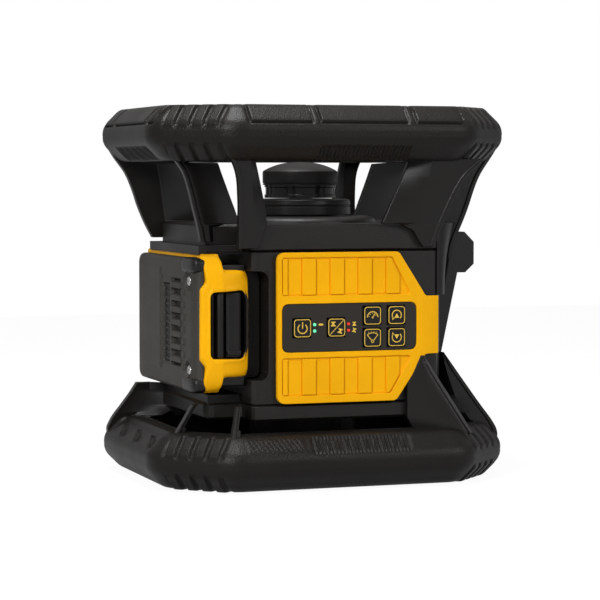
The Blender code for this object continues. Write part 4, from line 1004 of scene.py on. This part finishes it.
def latch():
    """The push grip: a ribbed section of (x, depth behind the pack's front) drawn upwards, and a
    ledge at its foot."""
    profile = [(-72.4, 4.5), (-72.4, 0.6), (-71.4, -0.4), (-70.2, 0.4), (-69.8, 3.4), (-69.2, 3.6), (-68.6, -0.6),
               (-67.4, -1.3), (-65.6, -1.2), (-64.7, -0.4), (-64.2, 3.8), (-63.6, 4.0), (-63.0, 1.6), (-61.6, 0.9),
               (-58.6, 0.5), (-55.6, 0.7), (-54.1, 1.5), (-53.8, 4.5)]
    grip = prism(np.array(profile)[::-1] * MM + (0, FRONT_Y), 72.8 * MM, 108.9 * MM, "Z")
    ledge = prism(mm(rectangle(-62.6, -54.6, 74.0, 76.6)), FRONT_Y - 0.4 * MM, FRONT_Y + 3 * MM, "Y")
    piece("latch_grip", *merged([grip, ledge]), DARK, body="latch", sharp=30, bevel=0.4 * MM,
          replaces=("battery_latch",), slot="black_plastic")


pack_side()
pack_front()
dock()
latch()


# ---- rear and side covers --------------------------------------------------------------------
def covers():
    """A rounded, ribbed cover on the rear wall with screws at its corners, and ribs low on the right wall."""
    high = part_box("main_housing")[1]
    back, right = high.y, high.x
    outer = rounded(mm([(-40, 54), (46, 54), (56, 66), (56, 112), (46, 124), (-40, 124)]), 6 * MM, 6)
    inner = (outer - outer.mean(0)) * 0.86 + outer.mean(0)
    bed = prism(inner, back + 0.8 * MM, back + 6 * MM, "Y")
    parts = [carved(prism(outer, back - 0.6 * MM, back + 2.0 * MM, "Y"), bed)]
    for z in np.arange(66, 110, 8.2):
        rib = rounded(mm(rectangle(-30, 44, z, z + 3.2)), 1.5 * MM, 3)
        parts.append(prism(rib, back + 0.2 * MM, back + 2.2 * MM, "Y"))
    piece("rear_cover", *merged(parts), BLACK, sharp=30, bevel=0.6 * MM)

    profile = mm([(0, 0), (1.9, 0), (2.5, -0.5), (2.5, -2.0), (0, -2.0)])
    verts, faces = outward(*lathe(profile, 24, closed=False))
    heads = []
    for x, z in rectangle(-36.3, 44.6, 57.7, 120.3):
        head = np.stack([x * MM + verts[:, 0], back + 2.5 * MM + verts[:, 2], z * MM + verts[:, 1]], -1)
        heads.append((head, faces))
    piece("rear_screws", *merged(heads), STEEL, sharp=30)

    ribs = []
    for y in np.arange(-34, 33, 7.2):
        rib = rounded(mm(rectangle(y, y + 3.4, 53, 64.5)), 1.5 * MM, 3)
        ribs.append(prism(rib, right - 0.5 * MM, right + 1.8 * MM, "X"))
    piece("side_ribs", *merged(ribs), BLACK, sharp=30, bevel=0.5 * MM)


covers()


# ---- turning head ----------------------------------------------------------------------------
DECK = 147.0 * MM


def head():
    """Domed cap, smoked window band, the collar on the carriage and the lip of the deck, all turned
    about Z. Profiles are (radius, height above a named level) in mm."""
    def turned(name, profile, level, mat, closed=True, **more):
        shape = lathe([(r * MM, level + h * MM) for r, h in profile], 96, closed)
        piece(name, *(shape if closed else outward(*shape)), mat, sharp=28, **more)

    cap_low, cap_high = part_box("head_cap")
    foot, top = -1.3, (cap_high.z - cap_low.z) / MM
    r = 22
    dome = [(r * 0.965 * a, top - 5.0 * a**2.4) for a in np.linspace(0, 1, 14)]
    skirt = [(r * 0.99, top - 5.5), (r, top - 6.3), (r, foot + 1.4), (r - 0.4, foot + 1.1), (r - 0.4, foot + 0.6),
             (r - 0.1, foot), (r - 1.0, foot), (r - 1.0, foot + 1.4), (r - 4, foot + 1.4), (r - 4, top - 7),
             (0, top - 7)]
    turned("head_dome", dome + skirt, cap_low.z, SHELL, False, body="head", replaces=("head_cap",),
           slot="black_plastic")

    band_low, band_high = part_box("head_window")
    foot, top = -1.9, (band_high.z - band_low.z) / MM
    band = [(20.9, top), (20.9, top - 2.2), (20.3, top - 2.6), (20.3, foot + 2.2), (20.9, foot + 1.8), (20.9, foot),
            (18.4, foot), (18.4, top)]
    turned("head_band", band, band_low.z, SMOKED, body="head", replaces=("head_window",), slot="glass")

    collar_low, collar_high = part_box("turret_collar")
    top = (collar_high.z - collar_low.z) / MM
    step = 158.2 - collar_low.z / MM
    collar = [(27.6, top), (29.2, top - 0.6), (29.7, top - 1.8), (29.7, top - 3.4), (29.2, top - 3.7),
              (29.2, top - 4.3), (29.6, top - 4.6), (29.6, 0), (27.6, 0), (27.6, 0.8), (23.4, 0.8), (23.4, -1.3),
              (22.4, -1.3), (22.4, step), (7.8, step), (7.8, top), (22, top)]
    turned("collar_shell", collar, collar_low.z, BLACK, body="carriage", replaces=("turret_collar",),
           slot="black_plastic")

    lip = [(37.9 + 6.5 * math.sin(a), 3.6 * math.cos(a)) for a in np.linspace(0, 1, 9) * math.pi / 2]
    turned("deck_lip", [(36.8, -0.4), (36.8, 3.0), (37.3, 3.6), *lip, (44.4, -0.4)], DECK, SHELL)


head()


# ---- camera, light and stage ------------------------------------------------------------------
WHITE = (1, 1, 1, 1)
FLOOR_GREY = (0.42, 0.42, 0.42, 1)
FLOOR_LEVEL = -0.6 * MM
AIM = np.array([0, 0, 0.11])
GLOSSY_SHARE = 0.3  # of the white surround, in reflections
FLOOR_SHARE = 0.82  # of the glow in the floor, so that it keeps a shadow
CAMERA_PLACE = (-0.4374, -1.2561, 0.1744)
CAMERA_TILT = math.pi / 2 - math.atan(125 / 2261)
CAMERA_TURN = -math.radians(19.2)


def sees_white(tree):
    """1 for camera rays and rays through glass, and a part for reflections, so that metal and the
    window show the white surround while black plastic stays deep."""
    path = tree.nodes.new("ShaderNodeLightPath")
    clear = math_node(tree, "MAXIMUM", path.outputs["Is Camera Ray"], path.outputs["Is Transmission Ray"])
    glossy = math_node(tree, "MULTIPLY", path.outputs["Is Glossy Ray"], GLOSSY_SHARE)
    return math_node(tree, "MAXIMUM", clear, glossy)


def mixed(tree, factor, plain, white, out):
    """The output shows plain where factor is 0 and white where it is 1."""
    mix = tree.nodes.new("ShaderNodeMixShader")
    for i, socket in enumerate((factor, plain.outputs[0], white.outputs[0])):
        tree.links.new(socket, mix.inputs[i])
    tree.links.new(mix.outputs[0], out.inputs["Surface"])


def studio():
    """A floor and surround that read as white to the camera, and soft light from above and the
    front."""
    world = bpy.data.worlds.new("surround")
    bpy.context.scene.world = world
    world.use_nodes = True
    t = world.node_tree
    t.nodes.clear()
    dim = shader_node(t, "Background", {"Color": WHITE, "Strength": 0.16})
    white = shader_node(t, "Background", {"Color": WHITE, "Strength": 1.0})
    mixed(t, sees_white(t), dim, white, shader_node(t, "OutputWorld"))

    u = np.linspace(-1.5, 1.5, 9)
    gx, gy = np.meshgrid(u, u, indexing="ij")
    verts = np.stack([gx, gy, np.full(gx.shape, FLOOR_LEVEL)], -1).reshape(-1, 3)
    mesh = bpy.data.meshes.new("floor")
    mesh.from_pydata(verts.tolist(), [], grid_faces(len(u), len(u)))
    floor = bpy.data.objects.new("floor", mesh)
    bpy.context.scene.collection.objects.link(floor)
    mat = bpy.data.materials.new("white_floor")
    mat.use_nodes = True
    t = mat.node_tree
    paint = t.nodes["Principled BSDF"]
    paint.inputs["Base Color"].default_value = FLOOR_GREY
    paint.inputs["Roughness"].default_value = 0.8
    glow = shader_node(t, "Emission", {"Color": WHITE, "Strength": 1.15})
    mixed(t, math_node(t, "MULTIPLY", sees_white(t), FLOOR_SHARE), paint, glow, t.nodes["Material Output"])
    mesh.materials.append(mat)

    for name, place, size, power in (
        ("overhead", (-0.15, -0.10, 1.15), 0.55, 13.0),
        ("front_left", (-1.15, -1.1, 0.85), 0.6, 19.0),
        ("front_right", (0.9, -1.3, 0.75), 0.6, 7.5),
    ):
        lamp = bpy.data.lights.new(name, "AREA")
        lamp.size = size
        lamp.energy = power
        obj = bpy.data.objects.new(name, lamp)
        bpy.context.scene.collection.objects.link(obj)
        obj.location = place
        aim = AIM - np.array(place)
        yaw = math.atan2(aim[1], aim[0])
        tip = math.acos(-aim[2] / np.linalg.norm(aim))
        obj.rotation_euler = (tip, 0, yaw - math.pi / 2)


studio()
view = bpy.data.cameras.new("view")
view.lens = 135.7
view.sensor_width = 36.0
camera = bpy.data.objects.new("view", view)
bpy.context.scene.collection.objects.link(camera)
camera.location = CAMERA_PLACE
camera.rotation_euler = (CAMERA_TILT, 0, CAMERA_TURN)
bpy.context.scene.camera = camera
bpy.context.scene.view_settings.view_transform = "Standard"
